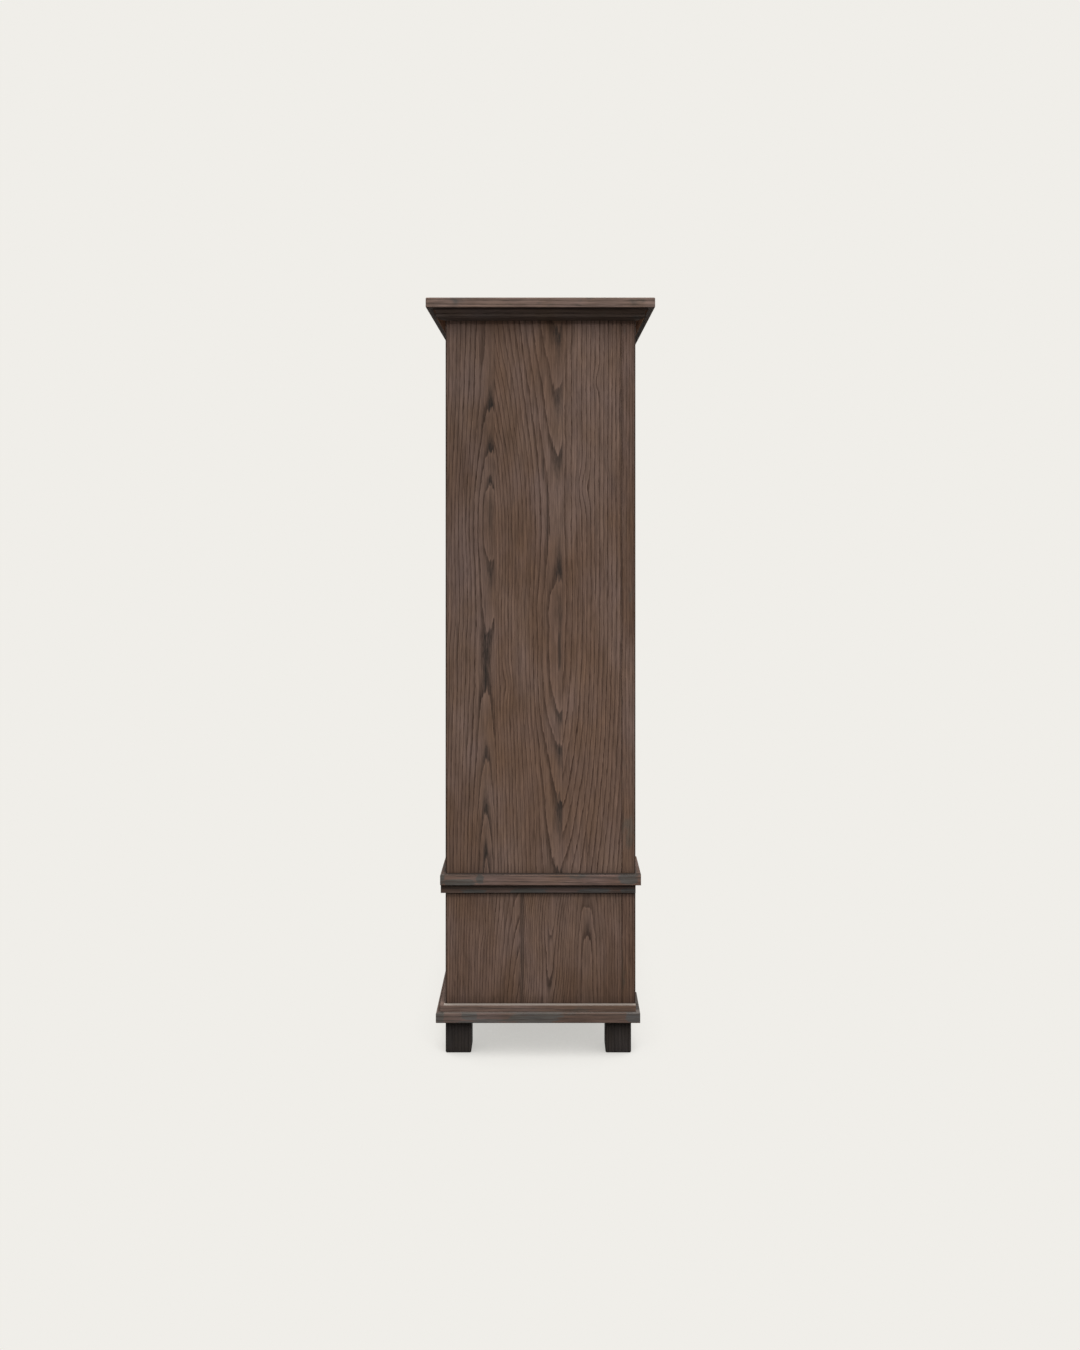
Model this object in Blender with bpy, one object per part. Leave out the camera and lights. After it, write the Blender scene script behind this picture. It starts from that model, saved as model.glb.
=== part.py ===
"""Tall two-part cupboard in dark stained ash: a two-door upper case on a two-drawer lower case.

Metres, +Z up. X runs across the front, -Y is the front, and the origin is on the floor under the middle.
"""

import math

import bmesh
import bpy
from mathutils import Matrix, Vector

# Overall case
CASE_WIDTH = 1.080
CASE_DEPTH = 0.532
SIDE_THICK = 0.025
REAR_STILE_WIDTH = 0.039
GAP = 0.0003
CUT_PAST = 0.010

# Heights, from the floor up
FOOT_HEIGHT = 0.094
BASE_THICK = 0.028
BASE_STEP_HEIGHT = 0.018
LOWER_FACE_HEIGHT = 0.310
WAIST_BED_HEIGHT = 0.0235
WAIST_THICK = 0.0305
UPPER_HEIGHT = 1.576
CROWN_BED_HEIGHT = 0.0285
CROWN_THICK = 0.028

# Overhangs past the case
CROWN_OVERHANG = 0.051
CROWN_FILLET_OUT = 0.033
CROWN_FASCIA_OUT = 0.025
CROWN_FILLET_HEIGHT = 0.0025
CROWN_UNDER_HEIGHT = 0.009
CROWN_SOFFIT = 0.005
WAIST_OVERHANG = 0.014
WAIST_BACK_OVERHANG = 0.0145
WAIST_STRIP_OUT = 0.0045
WAIST_STRIP_FRONT_OUT = 0.013
WAIST_STRIP_EASE = 0.001
BASE_OVERHANG = 0.025
BASE_BACK_OVERHANG = 0.0115
BASE_STEP_OUT = 0.0143
BASE_STEP_EASE = 0.0012
EDGE_ROUND = 0.003
CASE_EDGE_ROUND = 0.0025
JOINT_CHAMFER = 0.0009
FRONT_EASE = 0.0015

# Width of the frame boards at waist and base, inwards from the case face
WAIST_MEMBER = 0.174
BASE_MEMBER = 0.130

# Feet
FOOT_SIZE = 0.072
FOOT_SIDE_INSET = 0.002
FOOT_BACK_INSET = 0.012
FOOT_CHAMFER = 0.004

# Face frames
FACE_THICK = 0.022
STILE_WIDTH = 0.045
FRIEZE_RAIL = 0.075
MUNTIN_WIDTH = 0.040
DRAWER_RAIL_LIP = 0.001

# Back boards
BACK_THICK = 0.012
BACK_INSET = 0.006
REBATE_WIDTH = 0.010
BACK_BOARD_WIDTH = 0.130
VEE_WIDTH = 0.004
VEE_DEPTH = 0.002
BACK_HOUSING = 0.006

# Shelves
SHELF_COUNT = 3
SHELF_THICK = 0.020
SHELF_FRONT_CLEAR = 0.002
SHELF_TONGUE = 0.012
DADO_DEPTH = 0.006

# Doors
DOOR_THICK = 0.022
DOOR_STILE = 0.070
DOOR_TOP_RAIL = 0.070
DOOR_LOCK_RAIL = 0.090
DOOR_BOTTOM_RAIL = 0.095
LOCK_RAIL_HEIGHT = 0.688
DOOR_HINGE_GAP = 0.002
DOOR_MEETING_GAP = 0.0025
DOOR_TOP_GAP = 0.0025
DOOR_BOTTOM_GAP = 0.003
PANEL_GROOVE_WIDTH = 0.0064
PANEL_GROOVE_DEPTH = 0.009
PANEL_TONGUE_CLEAR = 0.0012
PANEL_FIELD_MARGIN = 0.034
PANEL_FIELD_STEP = 0.0018
PANEL_FIELD_RECESS = 0.0025
STICKING = 0.004

# Butt hinges
HINGES_PER_DOOR = 3
HINGE_LENGTH = 0.076
HINGE_END_INSET = 0.150
HINGE_KNUCKLES = 5
HINGE_PROUD = 0.001
KNUCKLE_RADIUS = 0.0043
PIN_RADIUS = 0.0022
PIN_CLEAR = 0.0003
KNUCKLE_CLEAR = 0.0003
LEAF_THICK = 0.0016
LEAF_WIDTH = 0.0205
FINIAL_RADIUS = 0.0032
NOTCH_CLEAR = 0.0005

# Knobs
KNOB_PROJECTION = 0.022
KNOB_RADIUS = 0.0155
KNOB_DOME_HEIGHT = 0.007
KNOB_RIM_HEIGHT = 0.0025
KNOB_RIM_STEP = 0.002
KNOB_UNDERCUT = 0.003
KNOB_COLLAR_RADIUS = 0.011
KNOB_COLLAR_HEIGHT = 0.0022
KNOB_NECK_RADIUS = 0.006
KNOB_NECK_FLARE = 0.001
KNOB_HEAD_FLARE = 0.002
KNOB_WAIST_HEIGHT = 0.0065
KNOB_TENON_RADIUS = 0.004
KNOB_TENON_LENGTH = 0.012
KNOB_BORE_SPARE = 0.001

# Door catch
CATCH_WIDTH = 0.070
CATCH_HEIGHT = 0.036
CATCH_DEPTH = 0.018
CATCH_BELOW_RAIL = 0.015
CATCH_ROUND = 0.002

# Drawers
DRAWER_GAP = 0.002
DRAWER_FRONT_THICK = 0.020
DRAWER_WALL = 0.012
DRAWER_TOP_CLEAR = 0.043
DRAWER_BACK_CLEAR = 0.043
DRAWER_BOTTOM_THICK = 0.007
DRAWER_BOTTOM_RAISE = 0.010
DRAWER_SIDE_CLEAR = 0.004
DIVIDER_THICK = 0.025
RUNNER_BEARING = 0.011
RUNNER_RISE = 0.0023
GUIDE_HEIGHT = 0.022
GUIDE_CLEAR = 0.0005

ROUND_SIDES = 20

# Derived planes
HALF_X = CASE_WIDTH / 2
FRONT = -CASE_DEPTH / 2
BACK = CASE_DEPTH / 2
INNER_X = HALF_X - SIDE_THICK
BASE_BOTTOM = FOOT_HEIGHT
BASE_TOP = BASE_BOTTOM + BASE_THICK
STEP_TOP = BASE_TOP + BASE_STEP_HEIGHT
BED_BOTTOM = STEP_TOP + LOWER_FACE_HEIGHT
WAIST_BOTTOM = BED_BOTTOM + WAIST_BED_HEIGHT
WAIST_TOP = WAIST_BOTTOM + WAIST_THICK
CROWN_BOTTOM = WAIST_TOP + UPPER_HEIGHT
CROWN_BED_BOTTOM = CROWN_BOTTOM - CROWN_BED_HEIGHT
CROWN_TOP = CROWN_BOTTOM + CROWN_THICK
REAR_STILE_FRONT = BACK - REAR_STILE_WIDTH
BACK_PANEL_REAR = BACK - BACK_INSET
BACK_PANEL_FRONT = BACK_PANEL_REAR - BACK_THICK
FACE_REAR = FRONT + FACE_THICK
FRAME_OUTER_X = INNER_X - GAP
OPENING_X = INNER_X - STILE_WIDTH
DOOR_OPENING_TOP = CROWN_BOTTOM - FRIEZE_RAIL
DRAWER_OPENING_BOTTOM = STEP_TOP + DRAWER_RAIL_LIP
DRAWER_OPENING_TOP = BED_BOTTOM - DRAWER_RAIL_LIP
HINGE_X = OPENING_X - DOOR_HINGE_GAP / 2
HINGE_Y = FRONT - HINGE_PROUD
DOOR_BOTTOM = WAIST_TOP + DOOR_BOTTOM_GAP
DOOR_TOP = DOOR_OPENING_TOP - DOOR_TOP_GAP
SIDES = {"left": -1, "right": 1}


def clear_scene():
    for obj in list(bpy.data.objects):
        bpy.data.objects.remove(obj)


def material(name, colour, roughness, metallic=0.0):
    found = bpy.data.materials.get(name)
    if found:
        return found
    made = bpy.data.materials.new(name)
    made.use_nodes = True
    shader = made.node_tree.nodes["Principled BSDF"]
    shader.inputs["Base Color"].default_value = (*colour, 1.0)
    shader.inputs["Roughness"].default_value = roughness
    shader.inputs["Metallic"].default_value = metallic
    return made


def stained_ash(name):
    return material(name, (0.115, 0.082, 0.064), 0.55)


def inner_ash(name):
    return material(name, (0.150, 0.108, 0.082), 0.60)


def dark_foot(name):
    return material(name, (0.024, 0.019, 0.016), 0.50)


def aged_brass(name):
    return material(name, (0.300, 0.215, 0.110), 0.38, 1.0)


def dark_steel(name):
    return material(name, (0.090, 0.088, 0.085), 0.45, 1.0)


def add_object(name, shape, finish):
    """Turns a bmesh into a named object with its own material."""
    bmesh.ops.recalc_face_normals(shape, faces=shape.faces)
    mesh = bpy.data.meshes.new(name)
    shape.to_mesh(mesh)
    shape.free()
    mesh.materials.append(finish(name + "_finish"))
    obj = bpy.data.objects.new(name, mesh)
    bpy.context.scene.collection.objects.link(obj)
    return obj


def loft(rings):
    """A closed bmesh through rings of equally many points, capped at both ends."""
    shape = bmesh.new()
    made = [[shape.verts.new(point) for point in ring] for ring in rings]
    for first, second in zip(made, made[1:]):
        for i in range(len(first)):
            j = (i + 1) % len(first)
            shape.faces.new((first[i], first[j], second[j], second[i]))
    shape.faces.new(made[0])
    shape.faces.new(made[-1])
    return shape


def box(name, low, high, finish):
    rings = []
    for z in (low[2], high[2]):
        corners = ((low[0], low[1]), (high[0], low[1]), (high[0], high[1]), (low[0], high[1]))
        rings.append([(x, y, z) for x, y in corners])
    return add_object(name, loft(rings), finish)


def upright_prism(name, outline, bottom, top, finish):
    """An (x, y) outline carried up from bottom to top."""
    return add_object(name, loft([[(x, y, z) for x, y in outline] for z in (bottom, top)]), finish)


def deep_prism(name, outline, front, back, finish):
    """An (x, z) outline carried from front to back."""
    return add_object(name, loft([[(x, y, z) for x, z in outline] for y in (front, back)]), finish)


def rect_loft(name, centre, half, steps, finish):
    """A rectangle in the front plane, grown or shrunk by each (y, growth) step from front to back."""
    rings = []
    for y, growth in steps:
        wide = half[0] + growth
        tall = half[1] + growth
        signs = ((-1, -1), (1, -1), (1, 1), (-1, 1))
        rings.append([(centre[0] + a * wide, y, centre[1] + b * tall) for a, b in signs])
    return add_object(name, loft(rings), finish)


def eased_slab(name, x_edges, z_edges, thick, finish):
    """A door or drawer front whose front edges are eased."""
    centre = (sum(x_edges) / 2, sum(z_edges) / 2)
    half = ((x_edges[1] - x_edges[0]) / 2, (z_edges[1] - z_edges[0]) / 2)
    steps = ((FRONT, -FRONT_EASE), (FRONT + FRONT_EASE, 0), (FRONT + thick, 0))
    return rect_loft(name, centre, half, steps, finish)


def moulding(name, profile, stations, finish):
    """Runs a profile of (out, z) past stations of (x, y, out_x, out_y), mitred at each."""
    rings = []
    for x, y, out_x, out_y in stations:
        rings.append([(x + out * out_x, y + out * out_y, z) for out, z in profile])
    return add_object(name, loft(rings), finish)


def turned(profile, sides=ROUND_SIDES):
    """A bmesh turned about +Z from (radius, z) points; both ends lie on the axis."""
    shape = bmesh.new()
    first = shape.verts.new((0, 0, profile[0][1]))
    last = shape.verts.new((0, 0, profile[-1][1]))
    rings = []
    for radius, z in profile[1:-1]:
        angles = [2 * math.pi * i / sides for i in range(sides)]
        rings.append([shape.verts.new((radius * math.cos(a), radius * math.sin(a), z)) for a in angles])
    for i in range(sides):
        j = (i + 1) % sides
        shape.faces.new((first, rings[0][i], rings[0][j]))
        shape.faces.new((last, rings[-1][j], rings[-1][i]))
        for low, high in zip(rings, rings[1:]):
            shape.faces.new((low[i], low[j], high[j], high[i]))
    return shape


def rod(name, centre, radius, bottom, top, finish, sides=ROUND_SIDES):
    shape = turned([(0, bottom), (radius, bottom), (radius, top), (0, top)], sides)
    shape.transform(Matrix.Translation((centre[0], centre[1], 0)))
    return add_object(name, shape, finish)


def combine(obj, others, operation):
    """Cuts the others from obj, or joins them to it, and removes them."""
    for other in others:
        change = obj.modifiers.new(operation.title(), "BOOLEAN")
        change.operation = operation
        change.solver = "EXACT"
        change.object = other
    bpy.context.view_layer.update()
    evaluated = obj.evaluated_get(bpy.context.evaluated_depsgraph_get())
    result = bpy.data.meshes.new_from_object(evaluated)
    obj.modifiers.clear()
    obj.data = result
    for other in others:
        bpy.data.objects.remove(other)


def round_edges(obj, width=EDGE_ROUND, segments=2):
    """Rounds the object's sharp edges."""
    bevel = obj.modifiers.new("Rounded edges", "BEVEL")
    bevel.width = width
    bevel.segments = segments
    bevel.limit_method = "ANGLE"
    bevel.angle_limit = math.radians(50)


def smooth(obj):
    obj.data.shade_smooth()
    obj.data.set_sharp_from_angle(angle=math.radians(35))


def empty_at(name, location):
    obj = bpy.data.objects.new(name, None)
    obj.location = location
    obj.empty_display_size = 0.05
    bpy.context.scene.collection.objects.link(obj)
    return obj


def hang_on(pieces, parent):
    bpy.context.view_layer.update()
    for piece in pieces:
        piece.parent = parent
        piece.matrix_parent_inverse = parent.matrix_world.inverted()


def arc(centre, radii, start, end, count):
    """Points on an ellipse's arc, angles in degrees, both ends included."""
    points = []
    for i in range(count + 1):
        angle = math.radians(start + (end - start) * i / count)
        points.append((centre[0] + radii[0] * math.cos(angle), centre[1] + radii[1] * math.sin(angle)))
    return points


def crown_profile():
    """Fillet, small hollow, plain fascia and a rounded under edge, from the case face outwards."""
    hollow = CROWN_FILLET_OUT - CROWN_FASCIA_OUT
    fillet_bottom = CROWN_BOTTOM - GAP - CROWN_FILLET_HEIGHT
    under = (CROWN_FASCIA_OUT - CROWN_SOFFIT, CROWN_UNDER_HEIGHT)
    points = [(GAP, CROWN_BOTTOM - GAP), (CROWN_FILLET_OUT, CROWN_BOTTOM - GAP)]
    points += arc((CROWN_FILLET_OUT, fillet_bottom - hollow), (hollow, hollow), 90, 180, 5)
    points += arc((CROWN_SOFFIT, CROWN_BED_BOTTOM + CROWN_UNDER_HEIGHT), under, 0, -90, 7)
    points.append((GAP, CROWN_BED_BOTTOM))
    return points


def waist_bed_profile():
    """Flat strip under the waist board, with an eased lower edge."""
    ease = WAIST_STRIP_EASE
    points = [(GAP, WAIST_BOTTOM - GAP), (WAIST_STRIP_OUT, WAIST_BOTTOM - GAP)]
    points += arc((WAIST_STRIP_OUT - ease, BED_BOTTOM + ease), (ease, ease), 0, -90, 3)
    points.append((GAP, BED_BOTTOM))
    return points


def base_step_profile():
    """Small plinth moulding on the base board, with an eased top edge."""
    ease = BASE_STEP_EASE
    points = [(GAP, BASE_TOP + GAP), (BASE_STEP_OUT, BASE_TOP + GAP)]
    points += arc((BASE_STEP_OUT - ease, STEP_TOP - ease), (ease, ease), 0, 90, 4)
    points.append((GAP, STEP_TOP))
    return points


def three_sided(back, front_share=1):
    """Stations along the left side, the front and the right side of the case.

    In front, a profile stands out front_share times as far from its gap as on the sides.
    """
    front = FRONT - GAP * (1 - front_share)
    return [
        (-HALF_X, back, -1, 0),
        (-HALF_X, front, -1, -front_share),
        (HALF_X, front, 1, -front_share),
        (HALF_X, back, 1, 0),
    ]


def build_crown():
    overhang = CROWN_OVERHANG
    low = (-HALF_X - overhang, FRONT - overhang, CROWN_BOTTOM)
    high = (HALF_X + overhang, BACK + overhang, CROWN_TOP)
    round_edges(box("crown_board", low, high, stained_ash), EDGE_ROUND, 3)
    shy = GAP / math.sqrt(2)
    profile = crown_profile()
    runs = {
        "front": [(-HALF_X + shy, FRONT, -1, -1), (HALF_X - shy, FRONT, 1, -1)],
        "back": [(-HALF_X + shy, BACK, -1, 1), (HALF_X - shy, BACK, 1, 1)],
        "left": [(-HALF_X, FRONT + shy, -1, -1), (-HALF_X, BACK - shy, -1, 1)],
        "right": [(HALF_X, FRONT + shy, 1, -1), (HALF_X, BACK - shy, 1, 1)],
    }
    for name, stations in runs.items():
        smooth(moulding("crown_moulding_" + name, profile, stations, stained_ash))


def board_frame(name, member, overhang, back_overhang, bottom, top):
    """A board frame round the front and sides, mitred in front, whose side ends stand past the back."""
    ease = EDGE_ROUND
    profile = [(-member, bottom), (overhang - ease, bottom)]
    profile += arc((overhang - ease, bottom + ease), (ease, ease), -60, 0, 2)
    profile += arc((overhang - ease, top - ease), (ease, ease), 0, 90, 3)
    profile.append((-member, top))
    frame = moulding(name, profile, three_sided(BACK + back_overhang), stained_ash)
    smooth(frame)
    return frame


def frame_panel(name, member, bottom, top):
    """The board that fills a frame, flush with the case's back."""
    half = HALF_X - member - GAP
    return box(name, (-half, FRONT + member + GAP, bottom), (half, BACK, top), inner_ash)


def back_housing():
    """Cutter for the groove where the upper back boards stand."""
    reach = INNER_X + REBATE_WIDTH
    low = (-reach, BACK_PANEL_FRONT - GAP, WAIST_TOP - BACK_HOUSING)
    high = (reach, BACK_PANEL_REAR + GAP, WAIST_TOP + CUT_PAST)
    return box("back_housing", low, high, inner_ash)


def build_waist():
    levels = (WAIST_BOTTOM, WAIST_TOP)
    frame = board_frame("waist_board_frame", WAIST_MEMBER, WAIST_OVERHANG, WAIST_BACK_OVERHANG, *levels)
    combine(frame, [back_housing()], "DIFFERENCE")
    smooth(frame)
    panel = frame_panel("waist_panel", WAIST_MEMBER, *levels)
    combine(panel, [back_housing()], "DIFFERENCE")
    share = (WAIST_STRIP_FRONT_OUT - GAP) / (WAIST_STRIP_OUT - GAP)
    smooth(moulding("waist_bed_moulding", waist_bed_profile(), three_sided(BACK, share), stained_ash))


def build_base():
    board_frame("base_board_frame", BASE_MEMBER, BASE_OVERHANG, BASE_BACK_OVERHANG, BASE_BOTTOM, BASE_TOP)
    frame_panel("base_panel", BASE_MEMBER, BASE_BOTTOM, BASE_TOP)
    smooth(moulding("base_step_moulding", base_step_profile(), three_sided(BACK), stained_ash))


def build_feet():
    outer = HALF_X - FOOT_SIDE_INSET
    depths = {"front": FRONT, "rear": BACK - FOOT_BACK_INSET - FOOT_SIZE}
    for end, start in depths.items():
        for side, sign in SIDES.items():
            edges = sorted((sign * outer, sign * (outer - FOOT_SIZE)))
            low = (edges[0], start, 0.0)
            high = (edges[1], start + FOOT_SIZE, BASE_BOTTOM - GAP)
            foot = box(f"foot_{end}_{side}", low, high, dark_foot)
            round_edges(foot, FOOT_CHAMFER)


def shelf_levels():
    """Underside of each shelf, spaced evenly between the waist board and the crown board."""
    clear = (CROWN_BOTTOM - WAIST_TOP - SHELF_COUNT * SHELF_THICK) / (SHELF_COUNT + 1)
    return [WAIST_TOP + (i + 1) * clear + i * SHELF_THICK for i in range(SHELF_COUNT)]


def dado_cutters(sign):
    """Slots across a case side for the shelves' tongues."""
    cutters = []
    for i, level in enumerate(shelf_levels()):
        inside = sign * (INNER_X - CUT_PAST)
        deep = sign * (INNER_X + DADO_DEPTH)
        edges = sorted((inside, deep))
        low = (edges[0], FACE_REAR, level - GAP)
        high = (edges[1], BACK_PANEL_FRONT - GAP, level + SHELF_TONGUE + GAP)
        cutters.append(box(f"dado_{i}", low, high, inner_ash))
    return cutters


def corner(x, y, sign, radius, end):
    """Points round a case's outer vertical edge at (x, y): end is -1 in front and 1 behind."""
    centre = (x - sign * radius, y - end * radius)
    points = arc((0, 0), (radius, radius), 0, 90, 3)
    return [(centre[0] + sign * a, centre[1] + end * b) for a, b in points]


def side_outline(sign):
    """A case side from above: rounded in front and chamfered at its joint with the rear stile."""
    joint = REAR_STILE_FRONT - GAP / 2
    points = [(sign * INNER_X, FRONT)]
    points += reversed(corner(sign * HALF_X, FRONT, sign, CASE_EDGE_ROUND, -1))
    points += [(sign * HALF_X, joint - JOINT_CHAMFER), (sign * (HALF_X - JOINT_CHAMFER), joint)]
    points.append((sign * INNER_X, joint))
    return points


def stile_outline(sign):
    """A rear stile from above: chamfered at its joint, rounded behind and rebated for the back boards."""
    joint = REAR_STILE_FRONT + GAP / 2
    rebate_x = sign * (INNER_X + REBATE_WIDTH)
    rebate_y = BACK_PANEL_FRONT - GAP
    points = [(sign * (HALF_X - JOINT_CHAMFER), joint), (sign * HALF_X, joint + JOINT_CHAMFER)]
    points += corner(sign * HALF_X, BACK, sign, CASE_EDGE_ROUND, 1)
    points += [(rebate_x, BACK), (rebate_x, rebate_y), (sign * INNER_X, rebate_y), (sign * INNER_X, joint)]
    return points


def build_case_sides(case, bottom, top, with_shelves):
    for side, sign in SIDES.items():
        panel = upright_prism(f"{case}_side_{side}", side_outline(sign), bottom, top, stained_ash)
        stile = upright_prism(f"{case}_rear_stile_{side}", stile_outline(sign), bottom, top, stained_ash)
        if with_shelves:
            combine(panel, dado_cutters(sign), "DIFFERENCE")
            combine(stile, dado_cutters(sign), "DIFFERENCE")


def back_outline():
    """Tongued boards seen from above: a thin panel with a V at each board joint, inside and out."""
    half = INNER_X + REBATE_WIDTH - GAP
    count = max(2, round(2 * half / BACK_BOARD_WIDTH))
    joints = [-half + 2 * half * i / count for i in range(1, count)]
    points = [(-half, BACK_PANEL_FRONT)]
    for x in joints:
        points.append((x - VEE_WIDTH / 2, BACK_PANEL_FRONT))
        points.append((x, BACK_PANEL_FRONT + VEE_DEPTH))
        points.append((x + VEE_WIDTH / 2, BACK_PANEL_FRONT))
    points.append((half, BACK_PANEL_FRONT))
    points.append((half, BACK_PANEL_REAR))
    for x in reversed(joints):
        points.append((x + VEE_WIDTH / 2, BACK_PANEL_REAR))
        points.append((x, BACK_PANEL_REAR - VEE_DEPTH))
        points.append((x - VEE_WIDTH / 2, BACK_PANEL_REAR))
    points.append((-half, BACK_PANEL_REAR))
    return points


def build_shelves():
    """Shelves with a bare-faced tongue on each end, shouldered on top."""
    reach = INNER_X + DADO_DEPTH - GAP
    shoulder = INNER_X - GAP
    front = FACE_REAR + SHELF_FRONT_CLEAR
    back = BACK_PANEL_FRONT - 2 * GAP
    for i, level in enumerate(shelf_levels()):
        tongue = level + SHELF_TONGUE
        top = level + SHELF_THICK
        right_half = [(reach, level), (reach, tongue), (shoulder, tongue), (shoulder, top)]
        outline = right_half + [(-x, z) for x, z in reversed(right_half)]
        deep_prism(f"shelf_{i + 1}", outline, front, back, inner_ash)


def hinge_levels():
    """Middle of each hinge on a door."""
    low = DOOR_BOTTOM + HINGE_END_INSET
    high = DOOR_TOP - HINGE_END_INSET
    return [low + (high - low) * i / (HINGES_PER_DOOR - 1) for i in range(HINGES_PER_DOOR)]


def hinge_cutters(sign, inward):
    """Barrel notch and leaf bed for each hinge, in the frame (inward -1) or the door (inward 1)."""
    cutters = []
    centre = (sign * HINGE_X, HINGE_Y)
    notch = KNUCKLE_RADIUS + NOTCH_CLEAR
    reach = HINGE_LENGTH / 2 + 2 * FINIAL_RADIUS + NOTCH_CLEAR
    for i, level in enumerate(hinge_levels()):
        cutters.append(rod(f"notch_{i}", centre, notch, level - reach, level + reach, aged_brass, 24))
        bed = sign * (HINGE_X - inward * (LEAF_THICK + 2 * GAP))
        edges = sorted((sign * HINGE_X, bed))
        low = (edges[0], HINGE_Y, level - HINGE_LENGTH / 2 - GAP)
        high = (edges[1], HINGE_Y + LEAF_WIDTH + GAP, level + HINGE_LENGTH / 2 + GAP)
        cutters.append(box(f"bed_{i}", low, high, aged_brass))
    return cutters


def build_upper_face_frame():
    outline = [
        (-FRAME_OUTER_X, WAIST_TOP + GAP),
        (-OPENING_X, WAIST_TOP + GAP),
        (-OPENING_X, DOOR_OPENING_TOP),
        (OPENING_X, DOOR_OPENING_TOP),
        (OPENING_X, WAIST_TOP + GAP),
        (FRAME_OUTER_X, WAIST_TOP + GAP),
        (FRAME_OUTER_X, CROWN_BOTTOM - GAP),
        (-FRAME_OUTER_X, CROWN_BOTTOM - GAP),
    ]
    frame = deep_prism("upper_face_frame", outline, FRONT, FACE_REAR, stained_ash)
    combine(frame, hinge_cutters(-1, -1) + hinge_cutters(1, -1), "DIFFERENCE")


def build_lower_face_frame():
    low = (-FRAME_OUTER_X, FRONT, BASE_TOP + GAP)
    high = (FRAME_OUTER_X, FACE_REAR, WAIST_BOTTOM - GAP)
    frame = box("lower_face_frame", low, high, stained_ash)
    openings = []
    for sign in SIDES.values():
        edges = sorted((sign * MUNTIN_WIDTH / 2, sign * OPENING_X))
        low = (edges[0], FRONT - CUT_PAST, DRAWER_OPENING_BOTTOM)
        high = (edges[1], FACE_REAR + CUT_PAST, DRAWER_OPENING_TOP)
        openings.append(box("drawer_opening", low, high, stained_ash))
    combine(frame, openings, "DIFFERENCE")


def drawer_edges():
    """Inner and outer x of the right-hand drawer box."""
    return MUNTIN_WIDTH / 2 + DRAWER_SIDE_CLEAR, OPENING_X - DRAWER_SIDE_CLEAR


def build_drawer_guides():
    inner, outer = drawer_edges()
    bottom = BASE_TOP + GAP
    bearing_top = DRAWER_OPENING_BOTTOM + RUNNER_RISE
    guide_top = bearing_top + GUIDE_HEIGHT
    front = FACE_REAR + GAP
    back = BACK_PANEL_FRONT - GAP
    half_wall = DIVIDER_THICK / 2
    guide = inner - GUIDE_CLEAR
    foot = inner + RUNNER_BEARING
    right_half = [
        (foot, bottom),
        (foot, bearing_top),
        (guide, bearing_top),
        (guide, guide_top),
        (half_wall, guide_top),
        (half_wall, WAIST_BOTTOM - GAP),
    ]
    outline = right_half + [(-x, z) for x, z in reversed(right_half)]
    deep_prism("drawer_divider", outline, front, back, inner_ash)
    for side, sign in SIDES.items():
        outline = [
            (sign * (outer - RUNNER_BEARING), bottom),
            (sign * (INNER_X - GAP), bottom),
            (sign * (INNER_X - GAP), guide_top),
            (sign * (outer + GUIDE_CLEAR), guide_top),
            (sign * (outer + GUIDE_CLEAR), bearing_top),
            (sign * (outer - RUNNER_BEARING), bearing_top),
        ]
        deep_prism(f"drawer_runner_{side}", outline, front, back, inner_ash)


def build_cases():
    build_case_sides("upper", WAIST_TOP + GAP, CROWN_BOTTOM - GAP, True)
    build_case_sides("lower", BASE_TOP + GAP, WAIST_BOTTOM - GAP, False)
    outline = back_outline()
    foot = WAIST_TOP - BACK_HOUSING + GAP
    upright_prism("upper_back_boards", outline, foot, CROWN_BOTTOM - GAP, inner_ash)
    upright_prism("lower_back_boards", outline, BASE_TOP + GAP, WAIST_BOTTOM - GAP, inner_ash)
    build_shelves()
    build_upper_face_frame()
    build_lower_face_frame()
    build_drawer_guides()
    low = (-CATCH_WIDTH / 2, FACE_REAR + GAP, DOOR_OPENING_TOP - CATCH_BELOW_RAIL)
    high = (CATCH_WIDTH / 2, FACE_REAR + GAP + CATCH_DEPTH, low[2] + CATCH_HEIGHT)
    round_edges(box("door_catch", low, high, dark_steel), CATCH_ROUND)


def knob(name, x, z):
    """Turned pull on a front face, with the tenon that holds it."""
    rim = KNOB_PROJECTION - KNOB_DOME_HEIGHT
    dome = arc((0, rim), (KNOB_RADIUS, KNOB_DOME_HEIGHT), 0, 90, 6)
    profile = [
        (0, -KNOB_TENON_LENGTH),
        (KNOB_TENON_RADIUS, -KNOB_TENON_LENGTH),
        (KNOB_TENON_RADIUS, GAP),
        (KNOB_COLLAR_RADIUS, GAP),
        (KNOB_COLLAR_RADIUS, KNOB_COLLAR_HEIGHT),
        (KNOB_NECK_RADIUS + KNOB_NECK_FLARE, KNOB_COLLAR_HEIGHT + KNOB_NECK_FLARE),
        (KNOB_NECK_RADIUS, KNOB_WAIST_HEIGHT),
        (KNOB_NECK_RADIUS + KNOB_HEAD_FLARE, rim - KNOB_RIM_HEIGHT - KNOB_UNDERCUT),
        (KNOB_RADIUS - KNOB_RIM_STEP, rim - KNOB_RIM_HEIGHT),
    ]
    profile += dome[:-1]
    profile.append((0, KNOB_PROJECTION))
    shape = turned(profile)
    shape.transform(Matrix.Translation((x, FRONT, z)) @ Matrix.Rotation(math.radians(90), 4, "X"))
    obj = add_object(name, shape, aged_brass)
    smooth(obj)
    return obj


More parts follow.
